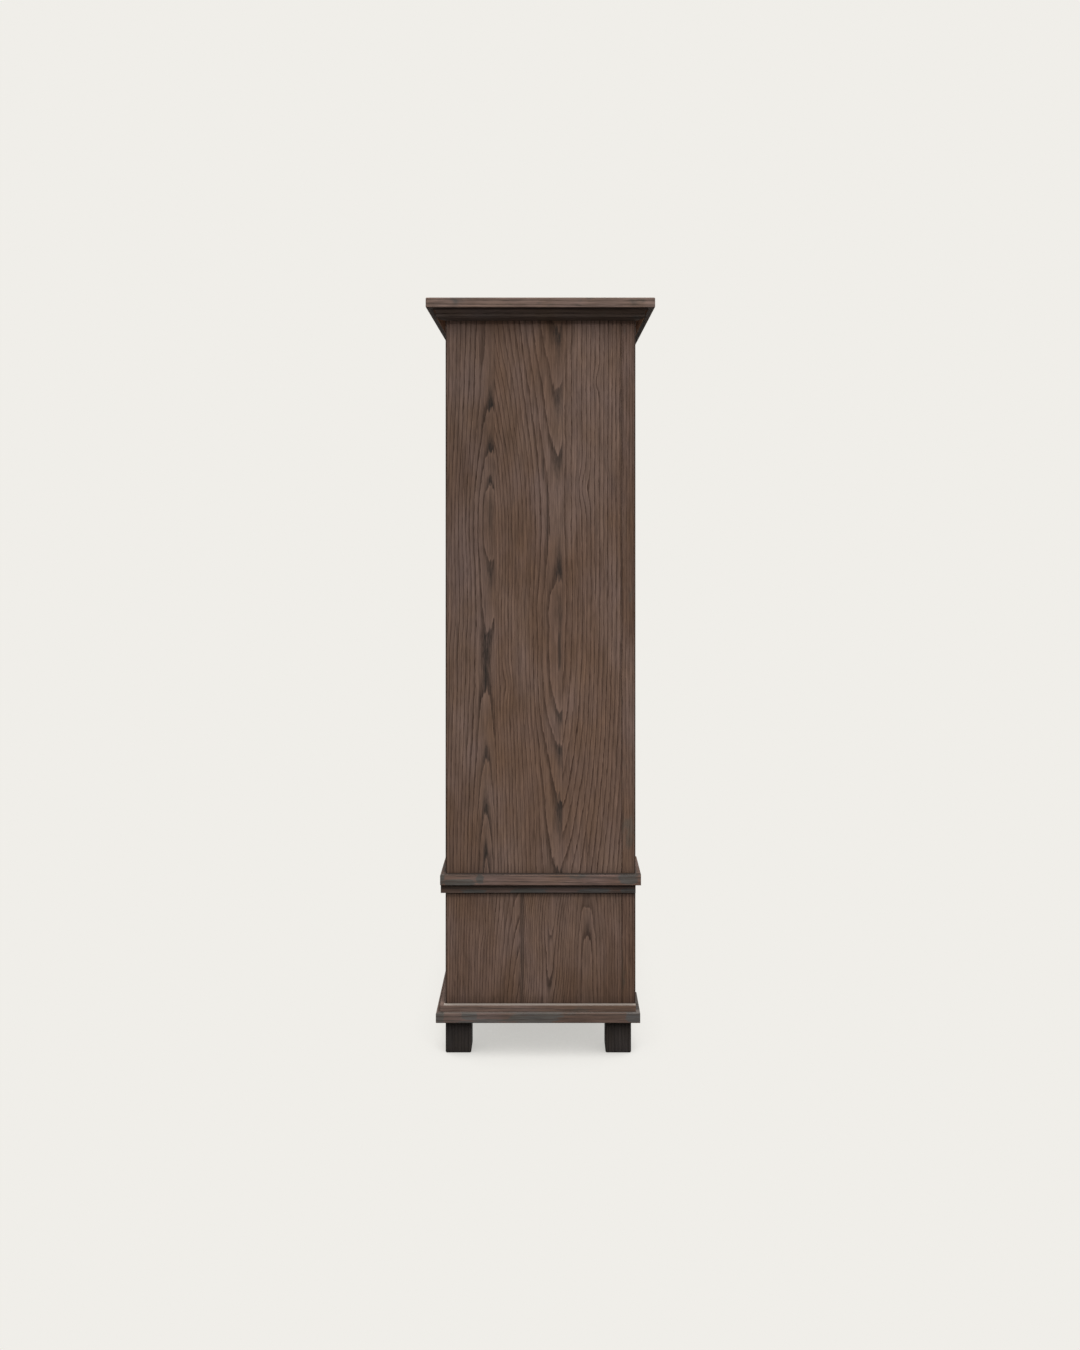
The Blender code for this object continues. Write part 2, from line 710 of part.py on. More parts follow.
def knob_bore(x, z):
    """Cutter for a knob's blind bore."""
    depth = KNOB_TENON_LENGTH + KNOB_BORE_SPARE
    radius = KNOB_TENON_RADIUS + GAP
    shape = turned([(0, -depth), (radius, -depth), (radius, CUT_PAST), (0, CUT_PAST)])
    shape.transform(Matrix.Translation((x, FRONT, z)) @ Matrix.Rotation(math.radians(90), 4, "X"))
    return add_object("knob_bore", shape, aged_brass)


def panel_openings():
    """(bottom, top) of a door's two panel openings."""
    rail_bottom = DOOR_BOTTOM + LOCK_RAIL_HEIGHT
    return {
        "lower": (DOOR_BOTTOM + DOOR_BOTTOM_RAIL, rail_bottom),
        "upper": (rail_bottom + DOOR_LOCK_RAIL, DOOR_TOP - DOOR_TOP_RAIL),
    }


def build_door(side, sign):
    near = DOOR_MEETING_GAP / 2
    far = OPENING_X - DOOR_HINGE_GAP
    edges = sorted((sign * near, sign * far))
    back = FRONT + DOOR_THICK
    groove_front = FRONT + (DOOR_THICK - PANEL_GROOVE_WIDTH) / 2
    groove_back = groove_front + PANEL_GROOVE_WIDTH
    frame = eased_slab(f"{side}_door_frame", edges, (DOOR_BOTTOM, DOOR_TOP), DOOR_THICK, stained_ash)
    middle = sign * (near + far) / 2
    half_wide = (far - near) / 2 - DOOR_STILE
    hole = (
        (FRONT - CUT_PAST, STICKING + CUT_PAST),
        (FRONT + STICKING, 0),
        (groove_front, 0),
        (groove_front, PANEL_GROOVE_DEPTH),
        (groove_back, PANEL_GROOVE_DEPTH),
        (groove_back, 0),
        (back + CUT_PAST, 0),
    )
    tongue = PANEL_GROOVE_DEPTH - PANEL_TONGUE_CLEAR
    field = FRONT + PANEL_FIELD_RECESS
    raised = (
        (field, -PANEL_FIELD_MARGIN),
        (field + PANEL_FIELD_STEP, -PANEL_FIELD_MARGIN - GAP),
        (groove_front + GAP, -GAP),
        (groove_front + GAP, tongue),
        (groove_back - GAP, tongue),
    )
    cutters = []
    pieces = [frame]
    for level, (low, high) in panel_openings().items():
        centre = (middle, (low + high) / 2)
        half = (half_wide, (high - low) / 2)
        cutters.append(rect_loft("panel_hole", centre, half, hole, stained_ash))
        pieces.append(rect_loft(f"{side}_door_panel_{level}", centre, half, raised, stained_ash))
    knob_x = sign * (near + DOOR_STILE / 2)
    knob_z = DOOR_BOTTOM + LOCK_RAIL_HEIGHT + DOOR_LOCK_RAIL / 2
    cutters.append(knob_bore(knob_x, knob_z))
    combine(frame, cutters + hinge_cutters(sign, 1), "DIFFERENCE")
    pieces.append(knob(f"{side}_door_knob", knob_x, knob_z))
    return pieces


def knuckle_spans(parity):
    """(low, high) of every second knuckle along the barrel, from its middle."""
    step = HINGE_LENGTH / HINGE_KNUCKLES
    spans = []
    for i in range(parity, HINGE_KNUCKLES, 2):
        low = -HINGE_LENGTH / 2 + i * step
        trim_low = KNUCKLE_CLEAR / 2 if i else 0
        trim_high = KNUCKLE_CLEAR / 2 if i < HINGE_KNUCKLES - 1 else 0
        spans.append((low + trim_low, low + step - trim_high))
    return spans


def leaf_comb(name, spans, centre, away):
    """A hinge leaf: a plate clear of the barrel, with a strap to each of its own knuckles."""
    start = KNUCKLE_RADIUS + 2 * NOTCH_CLEAR
    inside = (PIN_RADIUS + PIN_CLEAR + KNUCKLE_RADIUS) / 2
    half = HINGE_LENGTH / 2
    outline = [(LEAF_WIDTH, -half), (LEAF_WIDTH, half)]
    if half - spans[-1][1] > GAP:
        outline.append((start, half))
    for low, high in reversed(spans):
        if half - high > GAP:
            outline.append((start, high))
        outline += [(inside, high), (inside, low)]
        if half + low > GAP:
            outline.append((start, low))
    if half + spans[0][0] > GAP:
        outline.append((start, -half))
    near = away * GAP
    far = away * (GAP + LEAF_THICK)
    rings = [[(centre[0] + x, centre[1] + y, centre[2] + z) for y, z in outline] for x in (near, far)]
    return add_object(name, loft(rings), aged_brass)


def fixed_leaf(name, centre, away):
    """Leaf on the face frame, with its knuckles, the pin and the pin's ball tips."""
    spans = knuckle_spans(0)
    profile = [(0, -HINGE_LENGTH / 2 - 2 * FINIAL_RADIUS)]
    tip = arc((0, -HINGE_LENGTH / 2 - FINIAL_RADIUS), (FINIAL_RADIUS, FINIAL_RADIUS), -60, 50, 4)
    profile += tip
    for low, high in spans:
        profile += [(KNUCKLE_RADIUS, low), (KNUCKLE_RADIUS, high)]
        if high < HINGE_LENGTH / 2:
            profile += [(PIN_RADIUS, high), (PIN_RADIUS, high + HINGE_LENGTH / HINGE_KNUCKLES + KNUCKLE_CLEAR)]
    profile += [(radius, -z) for radius, z in reversed(tip)]
    profile.append((0, HINGE_LENGTH / 2 + 2 * FINIAL_RADIUS))
    shape = turned(profile, 16)
    shape.transform(Matrix.Translation(centre))
    leaf = add_object(name, shape, aged_brass)
    combine(leaf, [leaf_comb("comb", spans, centre, away)], "UNION")
    smooth(leaf)
    return leaf


def moving_leaf(name, centre, away):
    """Leaf on the door, whose knuckles run on the pin."""
    spans = knuckle_spans(1)
    leaf = leaf_comb(name, spans, centre, away)
    tubes = []
    for low, high in spans:
        bottom = centre[2] + low
        top = centre[2] + high
        tubes.append(rod("knuckle", centre, KNUCKLE_RADIUS, bottom, top, aged_brass, 16))
    combine(leaf, tubes, "UNION")
    reach = HINGE_LENGTH / 2
    bore = rod("bore", centre, PIN_RADIUS + PIN_CLEAR, centre[2] - reach, centre[2] + reach, aged_brass, 16)
    combine(leaf, [bore], "DIFFERENCE")
    smooth(leaf)
    return leaf


def build_doors():
    for side, sign in SIDES.items():
        pieces = build_door(side, sign)
        for i, level in enumerate(hinge_levels()):
            centre = Vector((sign * HINGE_X, HINGE_Y, level))
            fixed_leaf(f"{side}_hinge_{i + 1}_fixed_leaf", centre, sign)
            pieces.append(moving_leaf(f"{side}_hinge_{i + 1}_door_leaf", centre, -sign))
        middle = (DOOR_BOTTOM + DOOR_TOP) / 2
        hang_on(pieces, empty_at(f"{side}_door_axis", (sign * HINGE_X, HINGE_Y, middle)))


def build_drawer(side, sign):
    inner, outer = drawer_edges()
    bottom = DRAWER_OPENING_BOTTOM + RUNNER_RISE + GAP
    top = DRAWER_OPENING_TOP - DRAWER_TOP_CLEAR
    front = FRONT + DRAWER_FRONT_THICK + GAP
    back = BACK_PANEL_FRONT - DRAWER_BACK_CLEAR
    edges = sorted((sign * inner, sign * outer))
    tray = box(f"{side}_drawer_box", (edges[0], front, bottom), (edges[1], back, top), inner_ash)
    floor = bottom + DRAWER_BOTTOM_RAISE + DRAWER_BOTTOM_THICK
    low = (edges[0] + DRAWER_WALL, front + DRAWER_WALL, floor)
    high = (edges[1] - DRAWER_WALL, back - DRAWER_WALL, top + CUT_PAST)
    hollow = box("hollow", low, high, inner_ash)
    low = (edges[0] + DRAWER_WALL, front + DRAWER_WALL, bottom - CUT_PAST)
    high = (edges[1] - DRAWER_WALL, back - DRAWER_WALL, bottom + DRAWER_BOTTOM_RAISE)
    recess = box("recess", low, high, inner_ash)
    combine(tray, [hollow, recess], "DIFFERENCE")
    front_edges = sorted((sign * (MUNTIN_WIDTH / 2 + DRAWER_GAP), sign * (OPENING_X - DRAWER_GAP)))
    levels = (DRAWER_OPENING_BOTTOM + DRAWER_GAP, DRAWER_OPENING_TOP - DRAWER_GAP)
    face = eased_slab(f"{side}_drawer_front", front_edges, levels, DRAWER_FRONT_THICK, stained_ash)
    knob_x = sum(front_edges) / 2
    knob_z = sum(levels) / 2
    combine(face, [knob_bore(knob_x, knob_z)], "DIFFERENCE")
    pieces = [tray, face, knob(f"{side}_drawer_knob", knob_x, knob_z)]
    hang_on(pieces, empty_at(f"{side}_drawer_slide", (knob_x, FRONT, bottom)))


def build():
    clear_scene()
    build_feet()
    build_base()
    build_cases()
    build_waist()
    build_crown()
    build_doors()
    for side, sign in SIDES.items():
        build_drawer(side, sign)


build()
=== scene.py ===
"""Tall cabinet in dark stained ash, seen square on from its right-hand side.

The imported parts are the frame. This script gives them their finishes, adds the screw heads, and sets up the
floor, the light and the camera. Lengths are metres, and x, y and z are those of the frame, where the front
faces -Y.
"""

import math

import bmesh
import bpy
from mathutils import Matrix, Vector


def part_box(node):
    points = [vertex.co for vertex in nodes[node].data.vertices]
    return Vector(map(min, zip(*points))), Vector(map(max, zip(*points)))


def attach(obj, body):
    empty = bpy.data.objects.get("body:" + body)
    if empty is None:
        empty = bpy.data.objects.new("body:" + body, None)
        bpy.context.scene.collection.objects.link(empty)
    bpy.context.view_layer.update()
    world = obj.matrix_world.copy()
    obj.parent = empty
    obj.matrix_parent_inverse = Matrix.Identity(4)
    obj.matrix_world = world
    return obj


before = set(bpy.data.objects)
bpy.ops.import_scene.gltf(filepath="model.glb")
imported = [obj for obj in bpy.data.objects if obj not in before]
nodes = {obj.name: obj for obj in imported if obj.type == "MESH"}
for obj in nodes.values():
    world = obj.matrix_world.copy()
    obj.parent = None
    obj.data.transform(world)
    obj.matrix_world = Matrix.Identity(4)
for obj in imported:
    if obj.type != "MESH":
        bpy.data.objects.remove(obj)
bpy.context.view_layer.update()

# Places taken from the photograph: the camera's height and distance, and the near side's plane
CAMERA = (4.040, 0.021, 1.514)
FOCAL_PIXELS = 1250
IMAGE_HEIGHT = 1350
SHIFT_PIXELS = (-8, -162.4)
HORIZON_ROW = 512
PIXELS_PER_METRE = 357.0
SIDE_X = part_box("upper_side_right")[1].x
SIDE_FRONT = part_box("upper_side_right")[0].y
SIDE_FRONT_COLUMN = 445.2

# Scene-linear colours. Each wood has a light, a middle and a grey base, and the dark of its open early wood.
PALE = (0.871, 0.855, 0.815, 1)
ASH_LIGHT = (0.157, 0.1055, 0.0860, 1)
ASH_MIDDLE = (0.125, 0.0765, 0.0545, 1)
ASH_GREY = (0.104, 0.081, 0.066, 1)
ASH_DARK = (0.030, 0.0165, 0.0112, 1)
FRAME_GREY = (0.074, 0.070, 0.065, 1)
STRIP_GREY = (0.066, 0.063, 0.059, 1)
# Painted highlight for the tops of the base's ledges, and painted shade for the top of the waist board's ledge
LEDGE_HIGHLIGHT = (0.273, 0.236, 0.207, 1)
LEDGE_SHADE = (0.034, 0.027, 0.023, 1)
SOFT_DARK = (0.052, 0.040, 0.033, 1)
INNER_LIGHT = (0.185, 0.130, 0.095, 1)
INNER_MIDDLE = (0.150, 0.102, 0.075, 1)
INNER_GREY = (0.140, 0.104, 0.080, 1)
INNER_DARK = (0.062, 0.038, 0.026, 1)
FOOT_LIGHT = (0.0230, 0.0185, 0.0160, 1)
FOOT_MIDDLE = (0.0165, 0.0132, 0.0115, 1)
FOOT_GREY = (0.0190, 0.0165, 0.0150, 1)
FOOT_DARK = (0.0070, 0.0060, 0.0055, 1)
NEUTRAL_DARK = (1.10, 0.99, 0.90)
KNOB_BRIGHT = (0.34, 0.235, 0.115, 1)
KNOB_DULL = (0.13, 0.085, 0.045, 1)
HINGE_BRIGHT = (0.32, 0.225, 0.115, 1)
HINGE_DULL = (0.12, 0.080, 0.045, 1)
STEEL_BRIGHT = (0.20, 0.195, 0.19, 1)
STEEL_DULL = (0.075, 0.070, 0.066, 1)
LACQUER_BRIGHT = (0.030, 0.029, 0.028, 1)
LACQUER_DULL = (0.014, 0.013, 0.013, 1)
FLOOR_BOUNCE = (0.13, 0.125, 0.12, 1)

# Figure of straight-grained boards, whose tree's middle lies far off. On the front faces of frames the depth is
# counted from the other side.
STRAIGHT = {"ring": 0.0090, "axis": 1.0, "depth": 30.0, "drift": 0.12}
FRONT_DEPTH = -40.0
RING = 0.0065
FINE_JOINT = 0.0004
BOARD_JOINT = 0.0005
OFF_CENTRE = 0.05

# Growth rings: how far and how often a board's axis sways, and how its ring count changes along it
SWAY = 0.030
SWAYS_PER_METRE = 1.7
LEAN_PER_METRE = 13.0
TAPER = 5.0
TAPERS_PER_METRE = 1.4
TIP_FALL = 0.6

# Noise of the grain, as cells per metre across it and along it
WAVER = (22, 2.4)
SHIVER = (190, 24)
PORES = (620, 34)
FIBRE = (290, 17)
STREAK = (175, 7.5)
BROAD = (7, 2.2)
PATCH = (18, 8)
HUE = (16, 9)
RAGGED = (330, 22)

# Spans are (low, high) or (low, high, start, end) of a smooth step. First those of the rings of the wood.
WAVER_RINGS = 0.8
SHIVER_RINGS = 0.36
STRENGTH_SPAN = (0.0, 1.0, 0.62, 1.0)
TIP_STRENGTH = 0.10
REACH_SPAN = (0.0, 1.0, 0.34, 0.60)
TIP_REACH = 0.12
EARLY_RISE = 0.06
LATE_SPAN = (0.80, 0.99)
LATE_LIGHT = 0.16

# Colour, roughness and height of the wood
PORE_SPAN = (0.47, 0.64)
BROAD_SPAN = (0.37, 0.59, 0.09, 0.91)
GREY_SPAN = (0.58, 0.70)
GREYING_SHARE = 0.5
GREY_SHARE = 0.9
LIFT_BASE = -0.03
LIFT_STREAK = 0.90
LIFT_FIBRE = 1.10
HUE_TINT = (0.10, 0.20, 0.46)
EARLY_DARK = 0.66
EARLY_PORE_DARK = 0.34
PORE_DARK = 0.12
SMUDGE_SHARE = 0.8
EDGE_SHARE = 0.40
SEAM_SHARE = 0.85
ROUGHNESS = 0.68
EARLY_ROUGHNESS = 0.14
FIBRE_ROUGHNESS = 0.12
FIBRE_HEIGHT = 0.35
SEAM_DEPTH = 1.4

# Dark pockets with ragged ends
RAGGEDNESS = 1.1
POCKET_SPAN = (0.30, 0.72)
POCKET_BOUND = (0.02, 0.25)

# Finish shared by all woods: worn edges, painted shade in corners, on downward faces and along arrises, and a
# painted highlight or painted shade on upward ledges
WORN_EDGE_RADIUS = 0.0016
WORN_SPAN = (0.80, 0.985, 1.0, 0.0)
CORNER_SHADE_REACH = 0.035
CORNER_SHADE_SPAN = (0.20, 0.90, 0.50, 1.0)
DOWNWARD = (-0.95, -0.60)
UPWARD = (0.55, 0.95)
LEDGE_SIDE_SLACK = 0.001
LEDGE_FRONT_SLACK = 0.004
PATCH_GREYING = 0.6
WOOD_SPECULAR = 0.10
WOOD_RELIEF = 0.00035
ARRIS_SHADE_SPAN = (0.0010, 0.0060, 0.30, 1.0)

# Figure of the case sides
TIP_HALF_WIDTH = 0.0085
TIP_HALO = 0.5
TIP_HALO_FALL = 0.09
SIDE_JOINT_HALF = 0.0012
SIDE_JOINT_DARK = 0.30
KNOT_LENGTH = 2.6
MARK_DARK = 0.62
SIDE_GREYING = -0.35

# Boards as (width, first edge), and places of joints in the frames
BACK_BOARDS = (0.1312, -0.5247)
SHELF_BOARDS = (0.163, -0.256)
PANEL_BOARDS = (0.119, -0.0917)
CROWN_MEMBER = 0.120
MITRE = 0.707
PANEL_GROOVE = 0.0078
DOOR_HINGE_GAP = 0.002
DRAWER_GAP = 0.002
HALF_MUNTIN = 0.020

# Metal
RUBBED_EDGE_RADIUS = 0.0007
RUBBED_SPAN = (0.85, 0.99, 1.0, 0.0)
TARNISH_SPAN = (0.38, 0.66)
TARNISH_WHERE_RUBBED = 0.25
SPOT_SPAN = (0.60, 0.72)
SPOT_SHARE = 0.5
SPOT_DARK = 0.45
BRUSH_CELLS = (40, 900, 900)
METAL_RELIEF = 0.0001

# Screw heads: radius and height of the dome, and places
HINGE_SCREW = (0.0029, 0.00012)
HINGE_SCREW_INSET = 0.0085
HINGE_SCREW_STAGGER = 0.004
HINGE_SCREW_PITCH = 0.0255
DRAWER_SCREW = (0.0042, 0.0004)
DRAWER_SCREW_SHARES = (0.2, 0.8)
DRAWER_SCREW_ABOVE = 0.07
DRAWER_SCREW_BELOW = 0.06
DRAWER_FRONT_THICK = 0.012
LEAF_PLATE_DEPTH = 0.0005
SLOT_HALF_SHARE = 0.15
SCREW_ARC_STEPS = 10

# Stage: far lamps as (name, azimuth, elevation, strength, softness), backdrop light and floor shadow
LAMPS = (
    ("key", 22, 47, 4.2, 46),
    ("front_left_fill", -128, 22, 3.3, 40),
    ("back_left_fill", 128, 22, 1.9, 40),
)
BACKDROP_LIGHT = 0.15
SHADOW_REACH = 0.25
SHADOW_SPAN = (0.15, 0.70, 0.60, 1.0)
FLOOR_REACH = 60


class Graph:
    """Builds a node tree from short calls. Every value is a number, a tuple or another node's socket."""

    def __init__(self, tree):
        self.tree = tree

    def feed(self, socket, value):
        if isinstance(value, bpy.types.NodeSocket):
            self.tree.links.new(value, socket)
        else:
            socket.default_value = value

    def add(self, kind, settings=None, **inputs):
        node = self.tree.nodes.new("ShaderNode" + kind)
        for key, value in (settings or {}).items():
            setattr(node, key, value)
        for key, value in inputs.items():
            self.feed(node.inputs[key.replace("_", " ")], value)
        return node

    def math(self, operation, *values):
        node = self.add("Math", {"operation": operation})
        for socket, value in zip(node.inputs, values):
            self.feed(socket, value)
        return node.outputs[0]

    def vector(self, operation, *values):
        node = self.add("VectorMath", {"operation": operation})
        for socket, value in zip(node.inputs, values):
            self.feed(socket, value)
        return node.outputs["Value" if operation == "DOT_PRODUCT" else "Vector"]

    def scaled(self, vector, factor):
        return self.vector("SCALE", vector, (0, 0, 0), (0, 0, 0), factor)

    def total(self, first, *rest):
        for value in rest:
            first = self.math("ADD", first, value)
        return first

    def less(self, value, amount):
        return self.math("SUBTRACT", value, amount)

    def times(self, first, *rest):
        for value in rest:
            first = self.math("MULTIPLY", first, value)
        return first

    def bell(self, squared, fall=1.0):
        """A bell curve of a squared distance: 1 where it is 0."""
        return self.math("EXPONENT", self.times(squared, -fall))

    def ramp(self, value, low, high, start=0.0, end=1.0):
        """Smooth step from start at low to end at high."""
        node = self.add("MapRange", {"interpolation_type": "SMOOTHSTEP"})
        for socket, given in zip(node.inputs, (value, low, high, start, end)):
            self.feed(socket, given)
        return node.outputs[0]

    def above(self, value, limit):
        return self.math("GREATER_THAN", value, limit)

    def mix(self, factor, first, second, kind="RGBA"):
        node = self.add("Mix", {"data_type": kind})
        self.feed(node.inputs[0], factor)
        pair = [s for s in node.inputs if s.name in "AB" and s.enabled]
        self.feed(pair[0], first)
        self.feed(pair[1], second)
        return next(s for s in node.outputs if s.enabled)

    def noise(self, place, scale, detail, roughness, kind="3D"):
        node = self.add("TexNoise", {"noise_dimensions": kind})
        self.feed(node.inputs["W" if kind == "1D" else "Vector"], place)
        self.feed(node.inputs["Scale"], scale)
        self.feed(node.inputs["Detail"], detail)
        self.feed(node.inputs["Roughness"], roughness)
        return node.outputs[0]

    def random(self, value):
        node = self.add("TexWhiteNoise", {"noise_dimensions": "1D"})
        self.feed(node.inputs["W"], value)
        return node.outputs[0]

    def curve(self, value, points):
        """A smooth curve through the points, for any range of either value."""
        low_x, high_x = points[0][0], points[-1][0]
        low_y = min(y for _, y in points)
        high_y = max(y for _, y in points)
        share = self.math("DIVIDE", self.less(value, low_x), high_x - low_x)
        node = self.add("FloatCurve", Value=share)
        line = node.mapping.curves[0]
        shares = [((x - low_x) / (high_x - low_x), (y - low_y) / (high_y - low_y)) for x, y in points]
        line.points[0].location = shares[0]
        line.points[-1].location = shares[-1]
        for point in shares[1:-1]:
            line.points.new(*point)
        node.mapping.update()
        return self.total(self.times(node.outputs[0], high_y - low_y), low_y)


def new_group(name, inputs, outputs):
    """(node group, its graph, input sockets by name, output node)."""
    tree = bpy.data.node_groups.new(name, "ShaderNodeTree")
    for label, kind in inputs.items():
        tree.interface.new_socket(label, in_out="INPUT", socket_type="NodeSocket" + kind)
    for label, kind in outputs.items():
        tree.interface.new_socket(label, in_out="OUTPUT", socket_type="NodeSocket" + kind)
    start = tree.nodes.new("NodeGroupInput")
    end = tree.nodes.new("NodeGroupOutput")
    return tree, Graph(tree), start.outputs, end.inputs


def stretched(g, place, across, along):
    """The grain place with its across and through parts scaled by one number and its length by another."""
    return g.vector("MULTIPLY", place, (across, across, along))


def rings_group():
    """Growth rings where a board is cut. Place is (across, through, along) in metres.

    Phase counts the rings from the axis, and Tip is 1 at the axis. Drift scales the sway, lean and taper.
    """
    inputs = {"Place": "Vector", "Seed": "Float", "Ring": "Float", "Axis": "Float", "Depth": "Float",
              "Drift": "Float"}
    tree, g, start, end = new_group("Growth rings", inputs, {"Phase": "Float", "Tip": "Float"})
    parts = g.add("SeparateXYZ", Vector=start["Place"]).outputs
    shift = g.times(start["Seed"], 7.31)
    slow = g.noise(g.total(g.times(parts[2], TAPERS_PER_METRE), shift), 1.0, 1.0, 0.5, "1D")
    sway = g.noise(g.total(g.times(parts[2], SWAYS_PER_METRE), shift, 40.0), 1.0, 2.0, 0.5, "1D")
    axis = g.total(start["Axis"], g.times(g.less(sway, 0.5), start["Drift"], SWAY))
    across = g.math("DIVIDE", g.less(parts[0], axis), start["Ring"])
    leaning = g.less(g.above(g.random(g.total(start["Seed"], 3.3)), 0.5), 0.5)
    taper = g.total(g.times(parts[2], leaning, LEAN_PER_METRE), g.times(g.less(slow, 0.5), TAPER))
    depth = g.total(start["Depth"], g.times(taper, start["Drift"]))
    deep = g.total(depth, g.math("DIVIDE", parts[1], start["Ring"]))
    flat = g.times(across, across)
    g.feed(end["Phase"], g.math("SQRT", g.total(flat, g.times(deep, deep))))
    g.feed(end["Tip"], g.bell(flat, TIP_FALL))
    return tree


def ash_group():
    """Colour, roughness and height of oiled, stained ash, from its rings and its grain place.

    The open early wood of each ring took the most stain, above all in the tips of the arches.
    """
    inputs = {
        "Phase": "Float", "Tip": "Float", "Place": "Vector", "Seed": "Float", "Seam": "Float", "Edge": "Float",
        "Greying": "Float", "Light": "Color", "Middle": "Color", "Grey": "Color", "Dark": "Color",
    }
    outputs = {"Color": "Color", "Roughness": "Float", "Height": "Float"}
    tree, g, start, end = new_group("Stained ash", inputs, outputs)
    seed, tip, seam = start["Seed"], start["Tip"], start["Seam"]
    offset = g.add("CombineXYZ", X=g.times(seed, 1.37), Y=seed, Z=g.times(seed, 2.11))
    place = g.vector("ADD", start["Place"], offset.outputs[0])

    def layer(cells, detail, roughness):
        return g.noise(stretched(g, place, *cells), 1.0, detail, roughness)

    # Rings: how dark each one's early wood is, and how far it reaches
    waver = g.less(layer(WAVER, 3.0, 0.55), 0.5)
    shiver = g.less(layer(SHIVER, 2.0, 0.6), 0.5)
    phase = g.total(start["Phase"], g.times(waver, WAVER_RINGS), g.times(shiver, SHIVER_RINGS))
    inside = g.math("FRACT", phase)
    ring = g.math("FLOOR", phase)
    chance = g.random(g.total(ring, g.times(seed, 13.7)))
    strength = g.total(g.ramp(chance, *STRENGTH_SPAN), g.times(tip, TIP_STRENGTH))
    reach = g.total(g.ramp(g.random(g.total(ring, 5.5)), *REACH_SPAN), g.times(tip, TIP_REACH))
    early = g.times(g.ramp(inside, EARLY_RISE, reach, 1.0, 0.0), g.ramp(inside, 0.0, EARLY_RISE), strength)
    late = g.times(g.ramp(inside, *LATE_SPAN), LATE_LIGHT)

    pores = g.ramp(layer(PORES, 2.0, 0.6), *PORE_SPAN)
    fibre = layer(FIBRE, 3.0, 0.6)
    streak = layer(STREAK, 2.0, 0.6)
    broad = layer(BROAD, 2.0, 0.5)
    patch = layer(PATCH, 3.0, 0.6)

    # Base colour: broad changes, greyed patches, a slight change of hue, and light and dark fibres
    base = g.mix(g.ramp(broad, *BROAD_SPAN), start["Light"], start["Middle"])
    greyed = g.ramp(g.total(patch, g.times(start["Greying"], GREYING_SHARE)), *GREY_SPAN)
    base = g.mix(g.times(greyed, GREY_SHARE), base, start["Grey"])
    hue = g.less(layer(HUE, 1.0, 0.5), 0.5)
    red, green, blue = [g.total(1.0, g.times(hue, share)) for share in HUE_TINT]
    base = g.vector("MULTIPLY", base, g.add("CombineXYZ", X=red, Y=green, Z=blue).outputs[0])
    lift = g.total(LIFT_BASE, g.times(streak, LIFT_STREAK), g.times(fibre, LIFT_FIBRE), late)
    base = g.scaled(base, lift)

    # Stain in the early wood and the pores, which turns neutral in tips and seams
    in_early = g.total(EARLY_DARK, g.times(pores, EARLY_PORE_DARK))
    dark = g.total(g.times(early, in_early), g.times(pores, PORE_DARK))
    level = g.vector("DOT_PRODUCT", start["Dark"], (0.33, 0.34, 0.33))
    neutral = g.scaled(NEUTRAL_DARK, level)
    smudge = g.mix(SMUDGE_SHARE, start["Dark"], neutral)
    stain = g.mix(g.math("MINIMUM", g.total(tip, seam), 1.0), start["Dark"], smudge)
    colour = g.mix(g.math("MINIMUM", dark, 1.0), base, stain)
    colour = g.mix(g.times(start["Edge"], EDGE_SHARE), colour, start["Light"])
    colour = g.mix(g.times(seam, SEAM_SHARE), colour, stain)
    g.feed(end["Color"], colour)
    rough = g.total(ROUGHNESS, g.times(early, EARLY_ROUGHNESS), g.times(fibre, FIBRE_ROUGHNESS))
    g.feed(end["Roughness"], rough)
    height = g.total(g.times(fibre, FIBRE_HEIGHT), g.times(dark, -1.0), g.times(seam, -SEAM_DEPTH))
    g.feed(end["Height"], height)
    return tree


RINGS = rings_group()
ASH = ash_group()
STAINED = (ASH_LIGHT, ASH_MIDDLE, ASH_GREY, ASH_DARK)
INNER = (INNER_LIGHT, INNER_MIDDLE, INNER_GREY, INNER_DARK)
FOOT = (FOOT_LIGHT, FOOT_MIDDLE, FOOT_GREY, FOOT_DARK)


def new_material(name):
    """(empty material, its graph)."""
    made = bpy.data.materials.new(name)
    made.use_nodes = True
    made.node_tree.nodes.clear()
    return made, Graph(made.node_tree)


def row_place(g):
    """x, y and z of the shaded point in the row frame, which stays with the piece as it moves."""
    return g.add("SeparateXYZ", Vector=g.add("TexCoord").outputs["Object"]).outputs


def grain(g, xyz, axes):
    """(across, through, along) from axis letters, such as YXZ for upright grain on a side."""
    picked = [xyz["XYZ".index(letter)] for letter in axes]
    return g.add("CombineXYZ", X=picked[0], Y=picked[1], Z=picked[2]).outputs[0]


def toned(red, green=None, blue=None, colours=STAINED, grey=None, dark=None):
    """A set of wood colours times one factor or three, with another grey or dark where one is given."""
    factors = (red, green or red, blue or red)
    light, middle, own_grey = [tuple(f * c for f, c in zip(factors, colour)) + (1,) for colour in colours[:3]]
    return light, middle, grey or own_grey, dark or colours[3]


def line_at(g, distance, half_width):
    """1 on a thin line where distance is 0."""
    return g.ramp(g.math("ABSOLUTE", distance), half_width * 0.4, half_width, 1.0, 0.0)


def rings(g, place, seed, ring=RING, axis=0.0, depth=5.0, drift=1.0):
    """Arched grain near the axis, and straight grain far off it with little drift."""
    node = g.add("Group", {"node_tree": RINGS}, Place=place, Seed=seed)
    for label, value in (("Ring", ring), ("Axis", axis), ("Depth", depth), ("Drift", drift)):
        g.feed(node.inputs[label], value)
    return node.outputs["Phase"], node.outputs["Tip"]


def column_y(column):
    """y of a photo column on the case side's plane."""
    return SIDE_FRONT + (column - SIDE_FRONT_COLUMN) / PIXELS_PER_METRE


def row_z(row):
    """z of a photo row on the case side's plane."""
    return CAMERA[2] + (HORIZON_ROW - row) / PIXELS_PER_METRE


